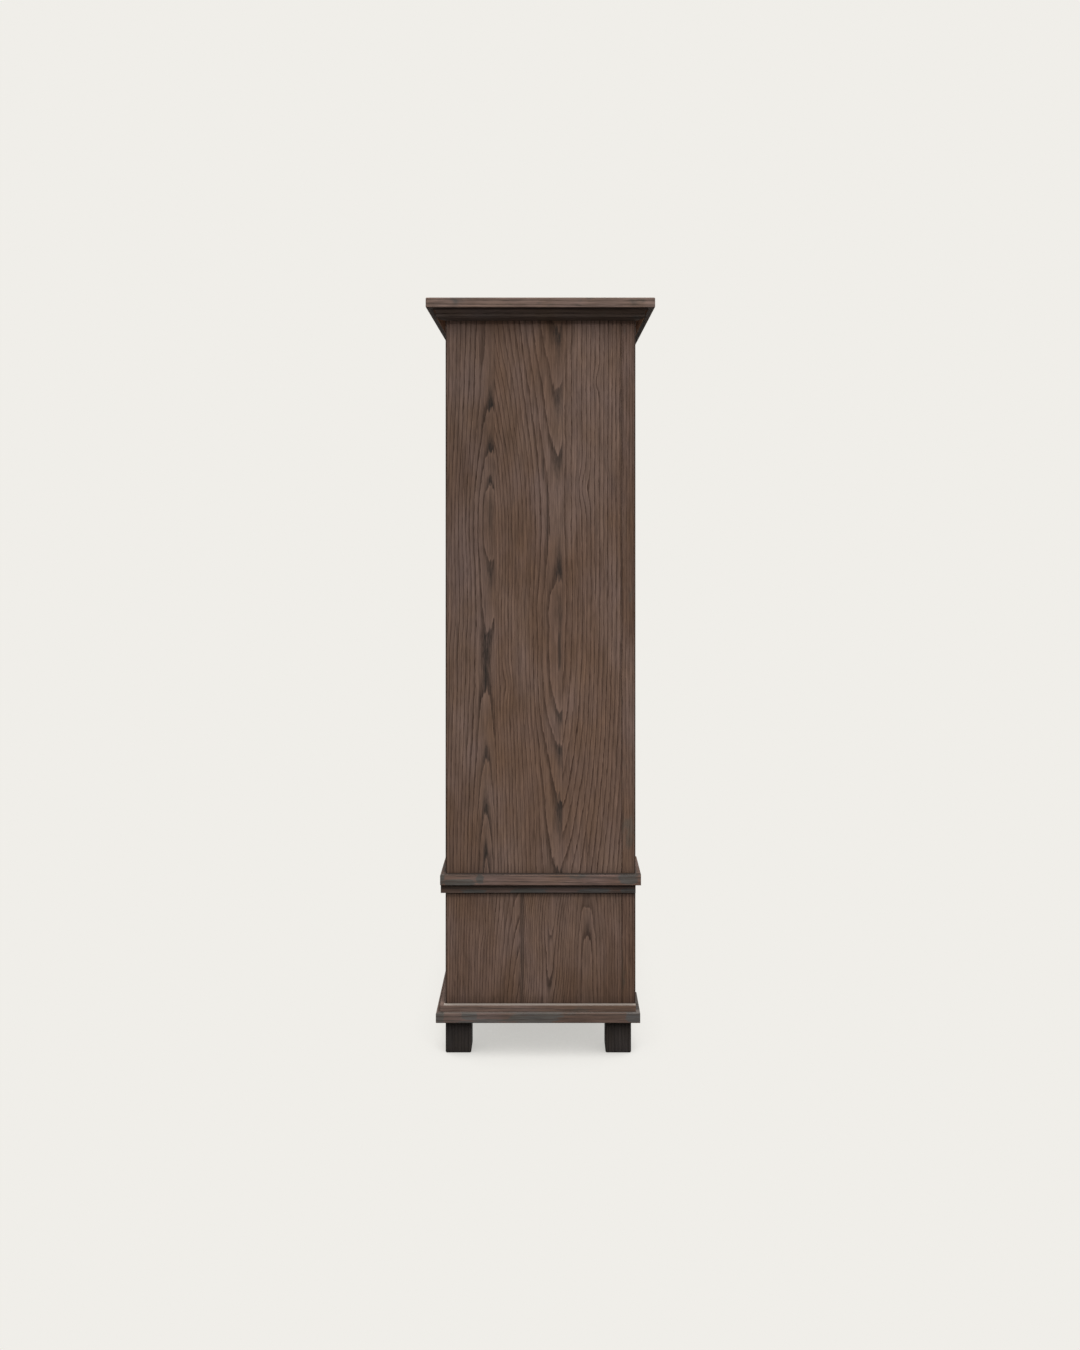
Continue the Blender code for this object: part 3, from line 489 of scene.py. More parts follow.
def by_row(g, z, value, convert=lambda number: number):
    """A number as it is, or a smooth curve through (photo row, number) pairs."""
    if isinstance(value, tuple):
        return g.curve(z, sorted((row_z(row), convert(number)) for row, number in value))
    return convert(value)


def finish_wood(g, figure, place, seed, seam=0.0, colours=STAINED, specular=WOOD_SPECULAR, greying=0.0,
                ledge=None, shade=None, patches=0.0, tone=1.0, under=1.0):
    """Adds the ash group, worn edges, painted shade in the corners and the shader. Figure is (phase, tip).

    Ledge is (amount, colour) on upward faces outside the case, a painted highlight or painted shade. Shade is a
    factor by photo row of painted shade and painted light, tone a factor everywhere, which also carries painted
    shade along arrises, and under a factor of painted shade on downward faces.
    """
    edge = g.add("Bevel", {"samples": 4}, Radius=WORN_EDGE_RADIUS)
    normal = g.add("NewGeometry").outputs["Normal"]
    worn = g.ramp(g.vector("DOT_PRODUCT", edge.outputs[0], normal), *WORN_SPAN)
    ash = g.add("Group", {"node_tree": ASH}, Phase=figure[0], Tip=figure[1], Place=place, Seed=seed, Seam=seam)
    g.feed(ash.inputs["Edge"], worn)
    g.feed(ash.inputs["Greying"], g.total(greying, g.times(patches, PATCH_GREYING)))
    for label, colour in zip(("Light", "Middle", "Grey", "Dark"), colours):
        ash.inputs[label].default_value = colour
    # Painted shade: the colour is darkened in corners and creases by ambient occlusion
    corner = g.add("AmbientOcclusion", {"samples": 6}, Distance=CORNER_SHADE_REACH).outputs["AO"]
    painted_shade_and_tone = g.times(g.ramp(corner, *CORNER_SHADE_SPAN), tone)
    xyz = row_place(g)
    # Painted shade and painted light, as a factor by photo row
    if shade:
        painted_shade_and_tone = g.times(painted_shade_and_tone, by_row(g, xyz[2], shade))
    facing = g.add("SeparateXYZ", Vector=normal).outputs[2]
    # Painted shade on downward faces
    if under < 1.0:
        painted_shade_and_tone = g.times(painted_shade_and_tone, g.ramp(facing, *DOWNWARD, under, 1.0))
    colour = g.scaled(ash.outputs["Color"], painted_shade_and_tone)
    # Painted highlight or painted shade on upward faces beside the case
    if ledge:
        amount, over = ledge
        upward = g.ramp(facing, *UPWARD)
        past_side = g.above(g.math("ABSOLUTE", xyz[0]), SIDE_X - LEDGE_SIDE_SLACK)
        beside = g.times(past_side, g.above(xyz[1], SIDE_FRONT - LEDGE_FRONT_SLACK))
        colour = g.mix(g.times(upward, beside, amount), colour, over)
    relief = g.add("Bump", Strength=1.0, Distance=WOOD_RELIEF, Height=ash.outputs["Height"],
                   Normal=edge.outputs[0])
    shader = g.add(
        "BsdfPrincipled",
        Base_Color=colour,
        Roughness=ash.outputs["Roughness"],
        Normal=relief.outputs[0],
        Specular_IOR_Level=specular,
    )
    g.add("OutputMaterial", Surface=shader.outputs[0])


def give(material, *names):
    """Puts the material in every slot of the named nodes."""
    for name in names:
        slots = nodes[name].data.materials
        for i in range(len(slots)):
            slots[i] = material


def centred(g, xyz, name):
    """The place from a node's middle. A piece off to one side is mirrored with its twin."""
    low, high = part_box(name)
    middle = [(a + b) / 2 for a, b in zip(low, high)]
    if abs(middle[0]) > OFF_CENTRE:
        xyz = (g.math("ABSOLUTE", xyz[0]), xyz[1], xyz[2])
        middle[0] = abs(middle[0])
    return [g.less(part, at) for part, at in zip(xyz, middle)]


def plain_wood(name, axes, seed, targets, colours=STAINED, shade=None, tone=None, specular=WOOD_SPECULAR,
               **figure):
    """One board with its grain along the last of the three axis letters. Tone gives a factor from (g, xyz); for the
    rear stiles it is painted shade along their back arris.
    """
    material, g = new_material(name)
    xyz = row_place(g)
    place = grain(g, centred(g, xyz, targets[0]), axes)
    factor = tone(g, xyz) if tone else 1.0
    figure = rings(g, place, seed, **figure)
    finish_wood(g, figure, place, seed, colours=colours, specular=specular, shade=shade, tone=factor)
    give(material, *targets)


def boarded_wood(name, axes, seed, targets, width, start, colours=STAINED, seam=BOARD_JOINT):
    """Boards of one width side by side, each with its own rings, and a fine dark line between them."""
    material, g = new_material(name)
    xyz = list(row_place(g))
    low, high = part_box(targets[0])
    for letter in axes[1:]:
        i = "XYZ".index(letter)
        xyz[i] = g.less(xyz[i], (low[i] + high[i]) / 2)
    place = grain(g, xyz, axes)
    across = xyz["XYZ".index(axes[0])]
    count = g.math("DIVIDE", g.less(across, start), width)
    board = g.math("FLOOR", count)
    middle = g.total(start, g.times(g.total(board, 0.5), width))
    own = g.random(g.total(board, seed))
    axis = g.total(middle, g.times(g.less(own, 0.5), width * 1.2))
    off_middle = g.math("ABSOLUTE", g.less(g.math("FRACT", count), 0.5))
    from_joint = g.times(g.less(off_middle, 0.5), width)
    seeds = g.total(seed, g.times(board, 3.7))
    figure = rings(g, place, seeds, axis=axis, depth=g.total(6.0, g.times(own, 4.0)))
    finish_wood(g, figure, place, seeds, line_at(g, from_joint, seam), colours)
    give(material, *targets)


def pockets(g, xyz, place, marks):
    """Dark pockets with ragged ends. Each is (column, top row, bottom row, half width in pixels, strength)."""
    ragged = g.less(g.noise(stretched(g, place, *RAGGED), 1.0, 3.0, 0.6), 0.5)
    total = 0.0
    for column, top, bottom, half, strength in marks:
        flat = g.times(g.less(xyz[1], column_y(column)), PIXELS_PER_METRE / half)
        tall = g.times(g.less(xyz[2], row_z((top + bottom) / 2)), 2 * PIXELS_PER_METRE / (bottom - top))
        square = g.times(tall, tall)
        far = g.total(g.times(flat, flat), g.times(square, square))
        spot = g.times(g.bell(far), strength)
        total = g.math("MAXIMUM", spot, total)
    inside = g.ramp(g.total(total, g.times(ragged, RAGGEDNESS)), *POCKET_SPAN)
    return g.times(inside, g.ramp(total, *POCKET_BOUND))


def two_way_wood(name, seed, targets, side_axes, front_axes, distance, colours=STAINED, patches=(),
                 parted=False, depth=STRAIGHT["depth"], **more):
    """Members at right angles: the side grain where distance(g, xyz) is above 0, with a joint line at 0.

    Parted is for two frames side by side. Other frames have members that run on across the middle.
    """
    material, g = new_material(name)
    xyz = row_place(g)
    gap = distance(g, xyz)
    is_side = g.above(gap, 0.0)
    place = g.mix(is_side, grain(g, xyz, front_axes), grain(g, xyz, side_axes), "VECTOR")
    # Each member gets a seed of its own
    if parted:
        hand = g.times(g.math("SIGN", xyz[0]), g.total(1.3, g.times(is_side, 2.1)))
    else:
        hand = g.times(g.math("SIGN", g.math("ROUND", g.times(xyz[0], 5.0))), is_side, 3.4)
    seeds = g.total(seed, hand)
    figure = rings(g, place, seeds, **{**STRAIGHT, "depth": depth})
    if patches:
        more["patches"] = g.times(pockets(g, xyz, place, patches), is_side)
    finish_wood(g, figure, place, seeds, line_at(g, gap, FINE_JOINT), colours, **more)
    give(material, *targets)


def painted_arris_shade(g, xyz, inward):
    """Painted shade: a dark line along an outer corner of a case side, from the distance inward along y."""
    depth = g.less(SIDE_X, g.math("ABSOLUTE", xyz[0]))
    return g.ramp(g.math("MAXIMUM", inward, depth), *ARRIS_SHADE_SPAN)


def figured_side(name, boards, knots, marks, targets, colours, shade, pointed=1.0):
    """Glued boards whose figure follows the photograph.

    Each board is (last column, tone, axis column, ring width, power, seed, ((row, rings at the axis), ...)). A
    ring ends in a pointed arch wherever the count at the axis passes a whole number. Each knot is (column, row,
    size, rings added).
    """
    material, g = new_material(name)
    xyz = row_place(g)
    place = grain(g, xyz, "YXZ")
    depth = g.less(SIDE_X, g.math("ABSOLUTE", xyz[0]))
    phase = tip = seam = tone = None
    for last, own_tone, axis, ring, power, seed, rows in boards:
        count = by_row(g, xyz[2], rows)
        width = by_row(g, xyz[2], ring)
        off_axis = g.less(xyz[1], by_row(g, xyz[2], axis, column_y))
        across = g.math("DIVIDE", off_axis, width)
        deep = g.total(g.math("POWER", count, 1 / power), g.math("DIVIDE", depth, width))
        square = g.total(g.times(across, across), g.times(deep, deep))
        own = g.total(g.math("POWER", square, power / 2), seed)
        narrow = g.times(off_axis, 1 / TIP_HALF_WIDTH)
        squared = g.times(narrow, narrow)
        core = g.bell(squared)
        halo = g.times(g.bell(squared, TIP_HALO_FALL), TIP_HALO)
        near = g.total(core, halo)
        if phase is None:
            phase, tip, tone = own, near, own_tone
        else:
            beyond = g.above(xyz[1], column_y(first))
            phase = g.mix(beyond, phase, own, "FLOAT")
            tip = g.mix(beyond, tip, near, "FLOAT")
            tone = g.mix(beyond, tone, own_tone, "FLOAT")
            joint = line_at(g, g.less(xyz[1], column_y(first)), SIDE_JOINT_HALF)
            joint = g.times(joint, SIDE_JOINT_DARK)
            seam = joint if seam is None else g.math("MAXIMUM", seam, joint)
        first = last
    for column, row, size, amount in knots:
        flat = g.math("DIVIDE", g.less(xyz[1], column_y(column)), size)
        tall = g.math("DIVIDE", g.less(xyz[2], row_z(row)), size * KNOT_LENGTH)
        reach = g.total(g.times(flat, flat), g.times(tall, tall))
        phase = g.total(phase, g.times(g.bell(reach), amount))
    seam = g.math("MAXIMUM", seam, g.times(pockets(g, xyz, place, marks), MARK_DARK))
    # Painted shade along the side's front arris
    tone = g.times(tone, painted_arris_shade(g, xyz, g.less(xyz[1], SIDE_FRONT)))
    figure = phase, g.times(tip, pointed)
    finish_wood(g, figure, place, 1.0, seam, colours, greying=SIDE_GREYING, shade=shade, tone=tone)
    give(material, *targets)


# Tables in photo columns and rows, in the forms that figured_side and pockets describe. The upper case ends near row
# 871, and the lower one starts near row 894.
UPPER_BOARDS = (
    (494, 0.88, ((296, 490.0), (600, 489.5), (660, 486.0), (885, 486.0)), 0.0112, 1.05, 0.0, (
        (296, 6.3), (318, 6.0), (360, 5.65), (396, 5.35), (410.5, 5.0), (442, 4.3), (452, 4.0), (474, 3.35),
        (485, 3.0), (520, 2.35), (545, 2.6), (562, 3.0), (600, 3.45), (634, 4.0), (660, 4.14), (688, 4.04),
        (696, 3.9), (744, 3.3), (759, 3.0), (804, 2.25), (815, 2.0), (850, 1.2), (859, 1.0), (885, 0.5))),
    (562, 0.975, ((296, 558.5), (448, 557.5), (581, 559.0), (885, 559.0)),
     ((296, 0.0310), (326, 0.0295), (420, 0.0235), (490, 0.0205), (560, 0.0200), (885, 0.0200)), 1.30, 20.0, (
        (296, 1.5), (322, 2.0), (345, 2.35), (382, 3.0), (448, 4.0), (500, 4.6), (530, 4.6), (558, 4.3),
        (581, 4.0), (610, 3.4), (634, 3.42), (652, 3.40), (672, 3.45), (690, 3.65), (709, 4.0), (742, 5.0),
        (792, 6.0), (868, 6.9), (885, 7.2))),
    (640, 1.0, 547, 0.0108, 1.0, 40.3, (
        (296, 6.0), (420, 6.2), (520, 6.3), (610, 6.0), (700, 7.0), (760, 8.6), (820, 10.6), (885, 12.8))),
)
UPPER_KNOTS = ((583, 487, 0.017, 1.0), (507, 684, 0.016, 1.1), (597, 380, 0.012, 0.8))
# Painted shade by photo row near the upper case's foot, and painted light above 1 below the crown
UPPER_SHADE = ((296, 1.8), (319, 1.8), (324, 1.25), (330, 1.03), (345, 1.0), (860, 1.0), (866, 0.93), (871, 0.90),
               (885, 0.85))
UPPER_MARKS = (
    (490, 396, 411, 1.6, 1.0), (490, 442, 453, 1.5, 1.0), (490, 474, 486, 1.7, 1.0), (485, 644, 692, 1.2, 0.9),
    (486, 744, 759, 1.6, 1.0), (486, 803, 815, 1.6, 1.0), (486, 850, 859, 1.3, 0.8), (556, 323, 335, 2.0, 1.0),
    (543, 455, 481, 1.2, 0.9), (547, 478, 562, 0.7, 0.8), (559, 557, 583, 1.7, 1.0), (559, 629, 673, 1.6, 1.0),
    (559, 742, 755, 1.6, 1.0), (559, 791, 811, 1.6, 1.0),
)
LOWER_BOARDS = (
    (519.5, 0.97, 523, 0.0108, 1.1, 3.0, ((880, 7.2), (918, 6.0), (947, 5.0), (984, 4.0), (1010, 3.4))),
    (570, 1.0, ((880, 557.0), (925, 550.5), (975, 549.0), (1010, 545.0)), 0.0078, 1.1, 13.0, (
        (880, 1.0), (920, 1.65), (933, 2.0), (952, 2.6), (978, 3.0), (1010, 3.7))),
    (640, 0.96, 587, 0.0082, 1.05, 23.0, (
        (880, 5.6), (903, 4.9), (920, 4.45), (936, 4.0), (948, 3.75), (975, 3.60), (1010, 3.5))),
)
LOWER_KNOTS = ((587, 902, 0.0065, 0.45), (483, 930, 0.012, 0.6))
LOWER_MARKS = (
    (588, 911, 938, 1.2, 0.5), (582, 930, 943, 1.0, 0.45), (549, 922, 933, 1.2, 0.45), (548, 937, 947, 1.0, 0.45),
    (519, 894, 905, 1.6, 0.55), (517, 944, 958, 1.5, 0.5), (547, 974, 988, 1.0, 0.5),
    (521.5, 870, 1020, 3.4, 0.74), (545, 893, 903, 3.0, 0.5),
)
# Painted shade by photo row: the shadow below the waist strip, and darker rows towards the base
LOWER_SHADE = ((885, 0.50), (893, 0.50), (895, 0.54), (897, 0.78), (900, 0.88), (906, 0.92), (914, 0.96),
               (930, 1.0), (965, 0.97), (982, 0.92), (990, 0.86), (995, 0.78), (998, 0.70), (1010, 0.78))


def paint_case():
    """Case sides with the photograph's figure, rear stiles, back boards, shelves, panels and runners."""
    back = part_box("upper_rear_stile_right")[1].y

    # Painted shade along the rear stiles' back arris
    def arris_shade_line(g, xyz):
        return painted_arris_shade(g, xyz, g.less(back, xyz[1]))

    figured_side("ash_upper_side", UPPER_BOARDS, UPPER_KNOTS, UPPER_MARKS, ["upper_side_right", "upper_side_left"],
                 toned(0.93, 0.91, 0.88), UPPER_SHADE)
    figured_side("ash_lower_side", LOWER_BOARDS, LOWER_KNOTS, LOWER_MARKS, ["lower_side_right", "lower_side_left"],
                 toned(0.85, 0.81, 0.76), LOWER_SHADE, pointed=0.3)
    stiles = ["upper_rear_stile_right", "upper_rear_stile_left"]
    plain_wood("ash_upper_rear_stile", "YXZ", 4.2, stiles, toned(0.845, 0.82, 0.79), UPPER_SHADE, arris_shade_line,
               **STRAIGHT)
    stiles = ["lower_rear_stile_right", "lower_rear_stile_left"]
    plain_wood("ash_lower_rear_stile", "YXZ", 6.2, stiles, toned(0.745, 0.68, 0.615), LOWER_SHADE, arris_shade_line,
               **STRAIGHT)
    boards = ["upper_back_boards", "lower_back_boards"]
    boarded_wood("ash_back_boards", "XYZ", 11.0, boards, *BACK_BOARDS, INNER)
    for i, name in enumerate(("shelf_1", "shelf_2", "shelf_3")):
        boarded_wood("ash_" + name, "YZX", 31.0 + i, [name], *SHELF_BOARDS, INNER)
    for i, name in enumerate(("waist_panel", "base_panel")):
        boarded_wood("ash_" + name, "YZX", 37.0 + i, [name], *PANEL_BOARDS, INNER)
    runners = ["drawer_divider", "drawer_runner_left", "drawer_runner_right"]
    plain_wood("ash_runners", "XZY", 41.0, runners, INNER, **STRAIGHT)


# Grey patches of the frames, in the form of the marks above, and painted shade and painted light by photo row
WAIST_GREYS = (
    (458, 877, 884, 17, 1.3), (480, 872, 882, 4, 1.2), (628, 871, 882, 10, 1.2), (440, 870, 884, 5, 1.1),
)
BASE_GREYS = (
    (469, 1006, 1016, 8, 1.3), (534, 1005, 1019, 26, 1.3), (633, 1002, 1019, 8, 1.3), (440, 998, 1019, 5, 1.2),
    (500, 1014, 1019, 60, 0.65),
)
STRIP_GREYS = (
    (475, 888, 893, 13, 1.1), (528, 887, 893, 20, 1.1), (594, 887, 893, 18, 1.1), (630, 887, 893, 12, 1.1),
)
# Painted shade and painted light by photo row on the crown moulding's sides: darker at their foot, a little lighter
# above
CROWN_SHADE = ((304, 0.85), (308, 1.00), (311, 1.08), (314, 1.06), (316, 0.74), (319, 0.55), (321, 0.9),
               (330, 1.0))
# Painted shadow of the waist board on the strip, by photo row
STRIP_SHADE = ((880, 0.42), (886, 0.42), (888, 0.52), (890, 0.70), (896, 0.74))


def paint_boards():
    """Crown, waist and base: members along the front and along the sides, mitred at the corners."""
    half_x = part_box("crown_board")[1].x
    half_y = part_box("crown_board")[1].y

    def crown_mitre(g, xyz):
        in_x = g.less(half_x, g.math("ABSOLUTE", xyz[0]))
        in_y = g.less(half_y, g.math("ABSOLUTE", xyz[1]))
        member = g.less(CROWN_MEMBER, in_x)
        return g.math("MINIMUM", g.times(g.less(in_y, in_x), MITRE), member)

    def corner_mitre(g, xyz):
        out = g.less(g.math("ABSOLUTE", xyz[0]), SIDE_X)
        return g.times(g.less(out, g.less(SIDE_FRONT, xyz[1])), MITRE)

    low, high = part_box("waist_bed_moulding")
    strip_share = (SIDE_FRONT - low.y) / (high.x - SIDE_X)

    def strip_mitre(g, xyz):
        out = g.times(g.less(g.math("ABSOLUTE", xyz[0]), SIDE_X), strip_share)
        return g.times(g.less(out, g.less(SIDE_FRONT, xyz[1])), 1 / strip_share)

    crown = toned(1.36, 1.50, 1.68, grey=FRAME_GREY, dark=SOFT_DARK)
    # The crown board's underside is darkened as painted shade
    two_way_wood("ash_crown_board", 51.0, ["crown_board"], "ZXY", "YZX", crown_mitre, crown, under=0.30)
    waist = toned(0.89, 0.88, 0.91, grey=FRAME_GREY, dark=SOFT_DARK)
    # Painted shade on the waist board's top, where the upper case meets it
    two_way_wood("ash_waist_board", 55.0, ["waist_board_frame"], "ZXY", "ZYX", corner_mitre, waist,
                 patches=WAIST_GREYS, ledge=(0.85, LEDGE_SHADE))
    base = toned(0.71, 0.74, 0.78, grey=FRAME_GREY, dark=SOFT_DARK)
    # Painted highlight on the upward faces of the base board and the base step
    two_way_wood("ash_base_board", 56.0, ["base_board_frame"], "ZXY", "ZYX", corner_mitre, base,
                 patches=BASE_GREYS, ledge=(0.24, LEDGE_HIGHLIGHT))
    two_way_wood("ash_base_step", 57.0, ["base_step_moulding"], "ZXY", "ZYX", corner_mitre,
                 toned(0.85, dark=SOFT_DARK), ledge=(0.9, LEDGE_HIGHLIGHT))
    # The strip's colours are darkened as painted shade of the waist board above it
    two_way_wood("ash_waist_strip", 58.0, ["waist_bed_moulding"], "ZXY", "ZYX", strip_mitre,
                 toned(0.66, 0.70, 0.76, grey=STRIP_GREY, dark=SOFT_DARK), patches=STRIP_GREYS, shade=STRIP_SHADE)
    sides = ["crown_moulding_right", "crown_moulding_left"]
    plain_wood("ash_crown_moulding_sides", "ZXY", 59.0, sides, toned(0.98, 1.11, 1.20), CROWN_SHADE, **STRAIGHT)
    plain_wood("ash_crown_moulding_ends", "ZYX", 61.0, ["crown_moulding_front", "crown_moulding_back"],
               toned(1.25, 1.13, 1.02), specular=0.0, **STRAIGHT)


def paint_front():
    """Face frames, doors and drawer fronts."""
    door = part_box("right_door_frame")
    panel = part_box("right_door_panel_upper")
    opening_x = door[1].x + DOOR_HINGE_GAP
    stile = (panel[0].x + PANEL_GROOVE, panel[1].x - PANEL_GROOVE)
    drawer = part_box("right_drawer_front")

    def door_stile(g, xyz):
        out = g.math("ABSOLUTE", xyz[0])
        return g.math("MAXIMUM", g.less(stile[0], out), g.less(out, stile[1]))

    def upper_stile(g, xyz):
        return g.less(g.math("ABSOLUTE", xyz[0]), opening_x)

    def lower_stile(g, xyz):
        out = g.math("ABSOLUTE", xyz[0])
        low = g.less(xyz[2], drawer[0].z - DRAWER_GAP)
        high = g.less(drawer[1].z + DRAWER_GAP, xyz[2])
        muntin = g.math("MINIMUM", g.less(HALF_MUNTIN, out), g.math("MINIMUM", low, high))
        return g.math("MAXIMUM", g.less(out, opening_x), muntin)

    doors = ["left_door_frame", "right_door_frame"]
    two_way_wood("ash_door_frames", 71.0, doors, "XYZ", "ZYX", door_stile, parted=True, depth=FRONT_DEPTH)
    two_way_wood("ash_upper_face_frame", 73.0, ["upper_face_frame"], "XYZ", "ZYX", upper_stile, depth=FRONT_DEPTH)
    two_way_wood("ash_lower_face_frame", 75.0, ["lower_face_frame"], "XYZ", "ZYX", lower_stile, depth=FRONT_DEPTH)
    for level, seed in (("upper", 81.0), ("lower", 85.0)):
        for i, side in enumerate(("left", "right")):
            name = f"{side}_door_panel_{level}"
            low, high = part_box(name)
            half = (high.x - low.x) / 2
            boarded_wood(f"ash_{level}_panel_{i}", "XYZ", seed + i, [name], half, low.x, seam=FINE_JOINT)
    plain_wood("ash_drawer_front_left", "ZYX", 91.0, ["left_drawer_front"], axis=-0.03)
    plain_wood("ash_drawer_front_right", "ZYX", 92.0, ["right_drawer_front"], axis=0.04)
    plain_wood("ash_drawer_boxes", "ZXY", 94.0, ["left_drawer_box", "right_drawer_box"], INNER, axis=0.03)


def paint_feet():
    """Near-black feet. The rear ones are a little lighter."""
    for i, name in enumerate(("foot_front_right", "foot_rear_right", "foot_front_left", "foot_rear_left")):
        colours = toned(1.2, colours=FOOT) if "rear" in name else FOOT
        plain_wood(f"ash_foot_{i}", "YXZ", 101.0 + 2 * i, [name], colours, **STRAIGHT)


def metal(name, bright, dull, roughness, targets=(), metallic=1.0, specular=0.5):
    """Handled metal, or lacquer where it isn't metallic: bright where it is rubbed, dull and spotted elsewhere."""
    material, g = new_material(name)
    place = g.add("TexCoord").outputs["Object"]
    cloud = g.noise(place, 90.0, 4.0, 0.6)
    spots = g.ramp(g.noise(place, 520.0, 2.0, 0.6), *SPOT_SPAN)
    brushed = g.noise(g.vector("MULTIPLY", place, BRUSH_CELLS), 1.0, 2.0, 0.5)
    edge = g.add("Bevel", {"samples": 4}, Radius=RUBBED_EDGE_RADIUS)
    normal = g.add("NewGeometry").outputs["Normal"]
    rubbed = g.ramp(g.vector("DOT_PRODUCT", edge.outputs[0], normal), *RUBBED_SPAN)
    tarnish = g.times(g.ramp(cloud, *TARNISH_SPAN), g.ramp(rubbed, 0.0, 1.0, 1.0, TARNISH_WHERE_RUBBED))
    colour = g.mix(tarnish, bright, dull)
    colour = g.mix(g.times(spots, SPOT_SHARE), colour, tuple(SPOT_DARK * c for c in dull[:3]) + (1,))
    relief = g.add("Bump", Strength=0.4, Distance=METAL_RELIEF, Height=g.total(brushed, spots),
                   Normal=edge.outputs[0])
    shader = g.add(
        "BsdfPrincipled",
        Base_Color=colour,
        Roughness=g.total(roughness, g.times(tarnish, 0.16), g.times(brushed, 0.10)),
        Normal=relief.outputs[0],
        Metallic=metallic,
        Specular_IOR_Level=specular,
    )
    g.add("OutputMaterial", Surface=shader.outputs[0])
    give(material, *targets)
    return material


def new_object(name, data):
    """An object with the data, linked to the scene."""
    obj = bpy.data.objects.new(name, data)
    bpy.context.scene.collection.objects.link(obj)
    return obj


def screw_head(shape, centre, along, radius, depth, slot_turn):
    """A slotted, slightly domed countersunk head, added to a bmesh, facing +along from its centre."""
    turn = along.to_track_quat("Z", "Y").to_matrix().to_4x4()
    place = Matrix.Translation(centre) @ turn @ Matrix.Rotation(slot_turn, 4, "Z")
    half_slot = radius * SLOT_HALF_SHARE
    for side in (-1, 1):
        rim = []
        start = math.asin(half_slot / radius)
        for i in range(SCREW_ARC_STEPS + 1):
            angle = start + (math.pi - 2 * start) * i / SCREW_ARC_STEPS
            rim.append((radius * math.cos(angle), side * radius * math.sin(angle)))
        top = [shape.verts.new(place @ Vector((x * 0.92, y * 0.92, depth))) for x, y in rim]
        middle = [shape.verts.new(place @ Vector((x, y, depth * 0.4))) for x, y in rim]
        low = [shape.verts.new(place @ Vector((x, y, -depth))) for x, y in rim]
        for a, b in ((top, middle), (middle, low)):
            for i in range(len(rim)):
                j = (i + 1) % len(rim)
                shape.faces.new((a[i], a[j], b[j], b[i]))
        shape.faces.new(top)
        shape.faces.new(low)
    floor = [shape.verts.new(place @ Vector((x, y, depth * 0.15))) for x, y in (
        (-radius * 0.95, -half_slot * 1.3), (radius * 0.95, -half_slot * 1.3),
        (radius * 0.95, half_slot * 1.3), (-radius * 0.95, half_slot * 1.3))]
    shape.faces.new(floor)


def screws(name, places, along, radius, depth, body, material, slot):
    """Screw heads as one piece that rides on a body."""
    shape = bmesh.new()
    for i, centre in enumerate(places):
        screw_head(shape, centre, along, radius, depth, 0.4 + 1.1 * i)
    bmesh.ops.recalc_face_normals(shape, faces=shape.faces)
    mesh = bpy.data.meshes.new(name)
    shape.to_mesh(mesh)
    shape.free()
    mesh.materials.append(material)
    obj = new_object(name, mesh)
    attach(obj, body)


def add_screws(brass, steel):
    """Three screws in each hinge leaf, and four through each drawer's inner front."""
    for side, sign in (("left", -1), ("right", 1)):
        for i in (1, 2, 3):
            for leaf, body, facing in (("fixed", "cabinet", -sign), ("door", side + "_door", sign)):
                name = f"{side}_hinge_{i}_{leaf}"
                low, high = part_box(name + "_leaf")
                plate = [v.co.x for v in nodes[name + "_leaf"].data.vertices if v.co.y > high.y - LEAF_PLATE_DEPTH]
                x = min(plate) if facing < 0 else max(plate)
                middle = (low.z + high.z) / 2
                places = []
                for k in range(3):
                    y = high.y - HINGE_SCREW_INSET + HINGE_SCREW_STAGGER * (k % 2)
                    places.append(Vector((x, y, middle + HINGE_SCREW_PITCH * (k - 1))))
                screws(name + "_screws", places, Vector((facing, 0, 0)), *HINGE_SCREW, body, brass, "hinge_brass")
        low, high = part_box(side + "_drawer_box")
        places = [Vector((low.x + (high.x - low.x) * share, low.y + DRAWER_FRONT_THICK, z))
                  for share in DRAWER_SCREW_SHARES
                  for z in (low.z + DRAWER_SCREW_ABOVE, high.z - DRAWER_SCREW_BELOW)]
        screws(side + "_drawer_screws", places, Vector((0, 1, 0)), *DRAWER_SCREW, side + "_drawer", steel,
               "catch_metal")


def seen_directly(g):
    """1 for what the camera sees, also by a mirror or through glass, and 0 for other light."""
    path = g.add("LightPath").outputs
    mirrored = g.math("MAXIMUM", path["Is Glossy Ray"], path["Is Transmission Ray"])
    return g.math("MAXIMUM", path["Is Camera Ray"], mirrored)


def floor_material():
    """Pale floor. What the camera and mirrors see is its plain colour with the object's soft shadow."""
    material, g = new_material("pale_floor")
    open_sky = g.add("AmbientOcclusion", {"samples": 8}, Distance=SHADOW_REACH).outputs["AO"]
    shade = g.ramp(open_sky, *SHADOW_SPAN)
    shown = g.add("Emission", Color=g.scaled(PALE[:3], shade))
    lit = g.add("BsdfDiffuse", Color=FLOOR_BOUNCE)
    both = g.add("MixShader")
    g.feed(both.inputs[0], seen_directly(g))
    g.feed(both.inputs[1], lit.outputs[0])
    g.feed(both.inputs[2], shown.outputs[0])
    g.add("OutputMaterial", Surface=both.outputs[0])
    return material


def add_floor():
    """A wide floor at the feet, which is part of the stage and not of the cabinet."""
    mesh = bpy.data.meshes.new("studio_floor")
    corners = [(x * FLOOR_REACH, y * FLOOR_REACH, 0) for x, y in ((-1, -1), (1, -1), (1, 1), (-1, 1))]
    mesh.from_pydata(corners, [], [(0, 1, 2, 3)])
    mesh.materials.append(floor_material())
    new_object("studio_floor", mesh)


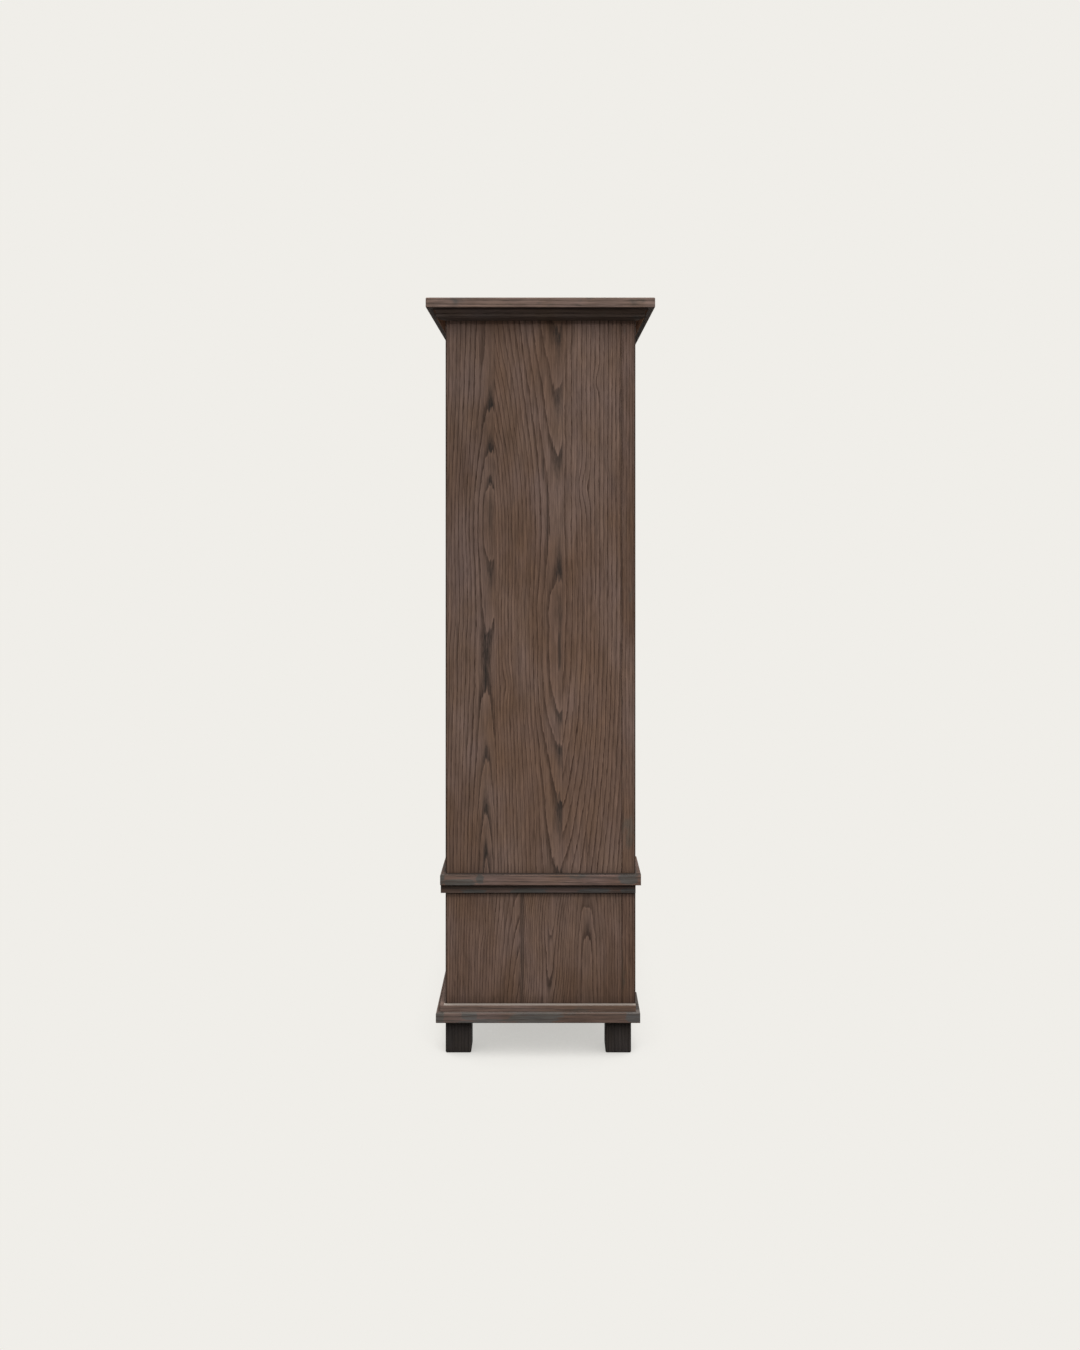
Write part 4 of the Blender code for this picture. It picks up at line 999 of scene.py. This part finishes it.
def set_world():
    """The pale backdrop for the camera and mirrors, and a low even light for the rest."""
    world = bpy.data.worlds.new("studio")
    world.use_nodes = True
    world.node_tree.nodes.clear()
    g = Graph(world.node_tree)
    strength = g.ramp(seen_directly(g), 0.0, 1.0, BACKDROP_LIGHT, 1.0)
    g.add("OutputWorld", Surface=g.add("Background", Color=PALE, Strength=strength).outputs[0])
    bpy.context.scene.world = world


def add_lamp(name, towards, strength, softness):
    """A soft far lamp. Towards points from the object to the lamp."""
    light = bpy.data.lights.new(name, "SUN")
    light.energy = strength
    light.angle = math.radians(softness)
    obj = new_object(name, light)
    obj.rotation_mode = "QUATERNION"
    obj.rotation_quaternion = Vector(towards).to_track_quat("Z", "Y")


def from_angles(azimuth, elevation):
    """Direction to a lamp. Azimuth 0 is the camera's side, +X, and 90 is the back, +Y."""
    a, e = math.radians(azimuth), math.radians(elevation)
    return math.cos(e) * math.cos(a), math.cos(e) * math.sin(a), math.sin(e)


def add_light():
    """A high soft key from the photograph's side, and fills from the front left and the back left."""
    for name, azimuth, elevation, strength, softness in LAMPS:
        add_lamp(name, from_angles(azimuth, elevation), strength, softness)


def add_camera():
    """The photograph's camera, level and square on, with its picture shifted."""
    camera = bpy.data.cameras.new("photo_camera")
    camera.sensor_width = 36
    camera.lens = camera.sensor_width * FOCAL_PIXELS / IMAGE_HEIGHT
    camera.shift_x = SHIFT_PIXELS[0] / IMAGE_HEIGHT
    camera.shift_y = SHIFT_PIXELS[1] / IMAGE_HEIGHT
    camera.clip_end = 200
    obj = new_object("photo_camera", camera)
    obj.location = CAMERA
    obj.rotation_euler = (math.pi / 2, 0, math.pi / 2)
    bpy.context.scene.camera = obj


def build():
    """All finishes, the added pieces and the stage."""
    paint_case()
    paint_boards()
    paint_front()
    paint_feet()
    knobs = [f"{side}_{part}_knob" for side in ("left", "right") for part in ("door", "drawer")]
    leaves = [name for name in nodes if name.endswith("_leaf")]
    metal("aged_knob_brass", KNOB_BRIGHT, KNOB_DULL, 0.30, knobs)
    brass = metal("aged_hinge_brass", HINGE_BRIGHT, HINGE_DULL, 0.34, leaves)
    steel = metal("dark_steel", STEEL_BRIGHT, STEEL_DULL, 0.38)
    metal("black_lacquer", LACQUER_BRIGHT, LACQUER_DULL, 0.40, ["door_catch"], metallic=0.0, specular=0.12)
    add_screws(brass, steel)
    add_floor()
    set_world()
    add_light()
    add_camera()
    bpy.context.scene.view_settings.view_transform = "Standard"


build()
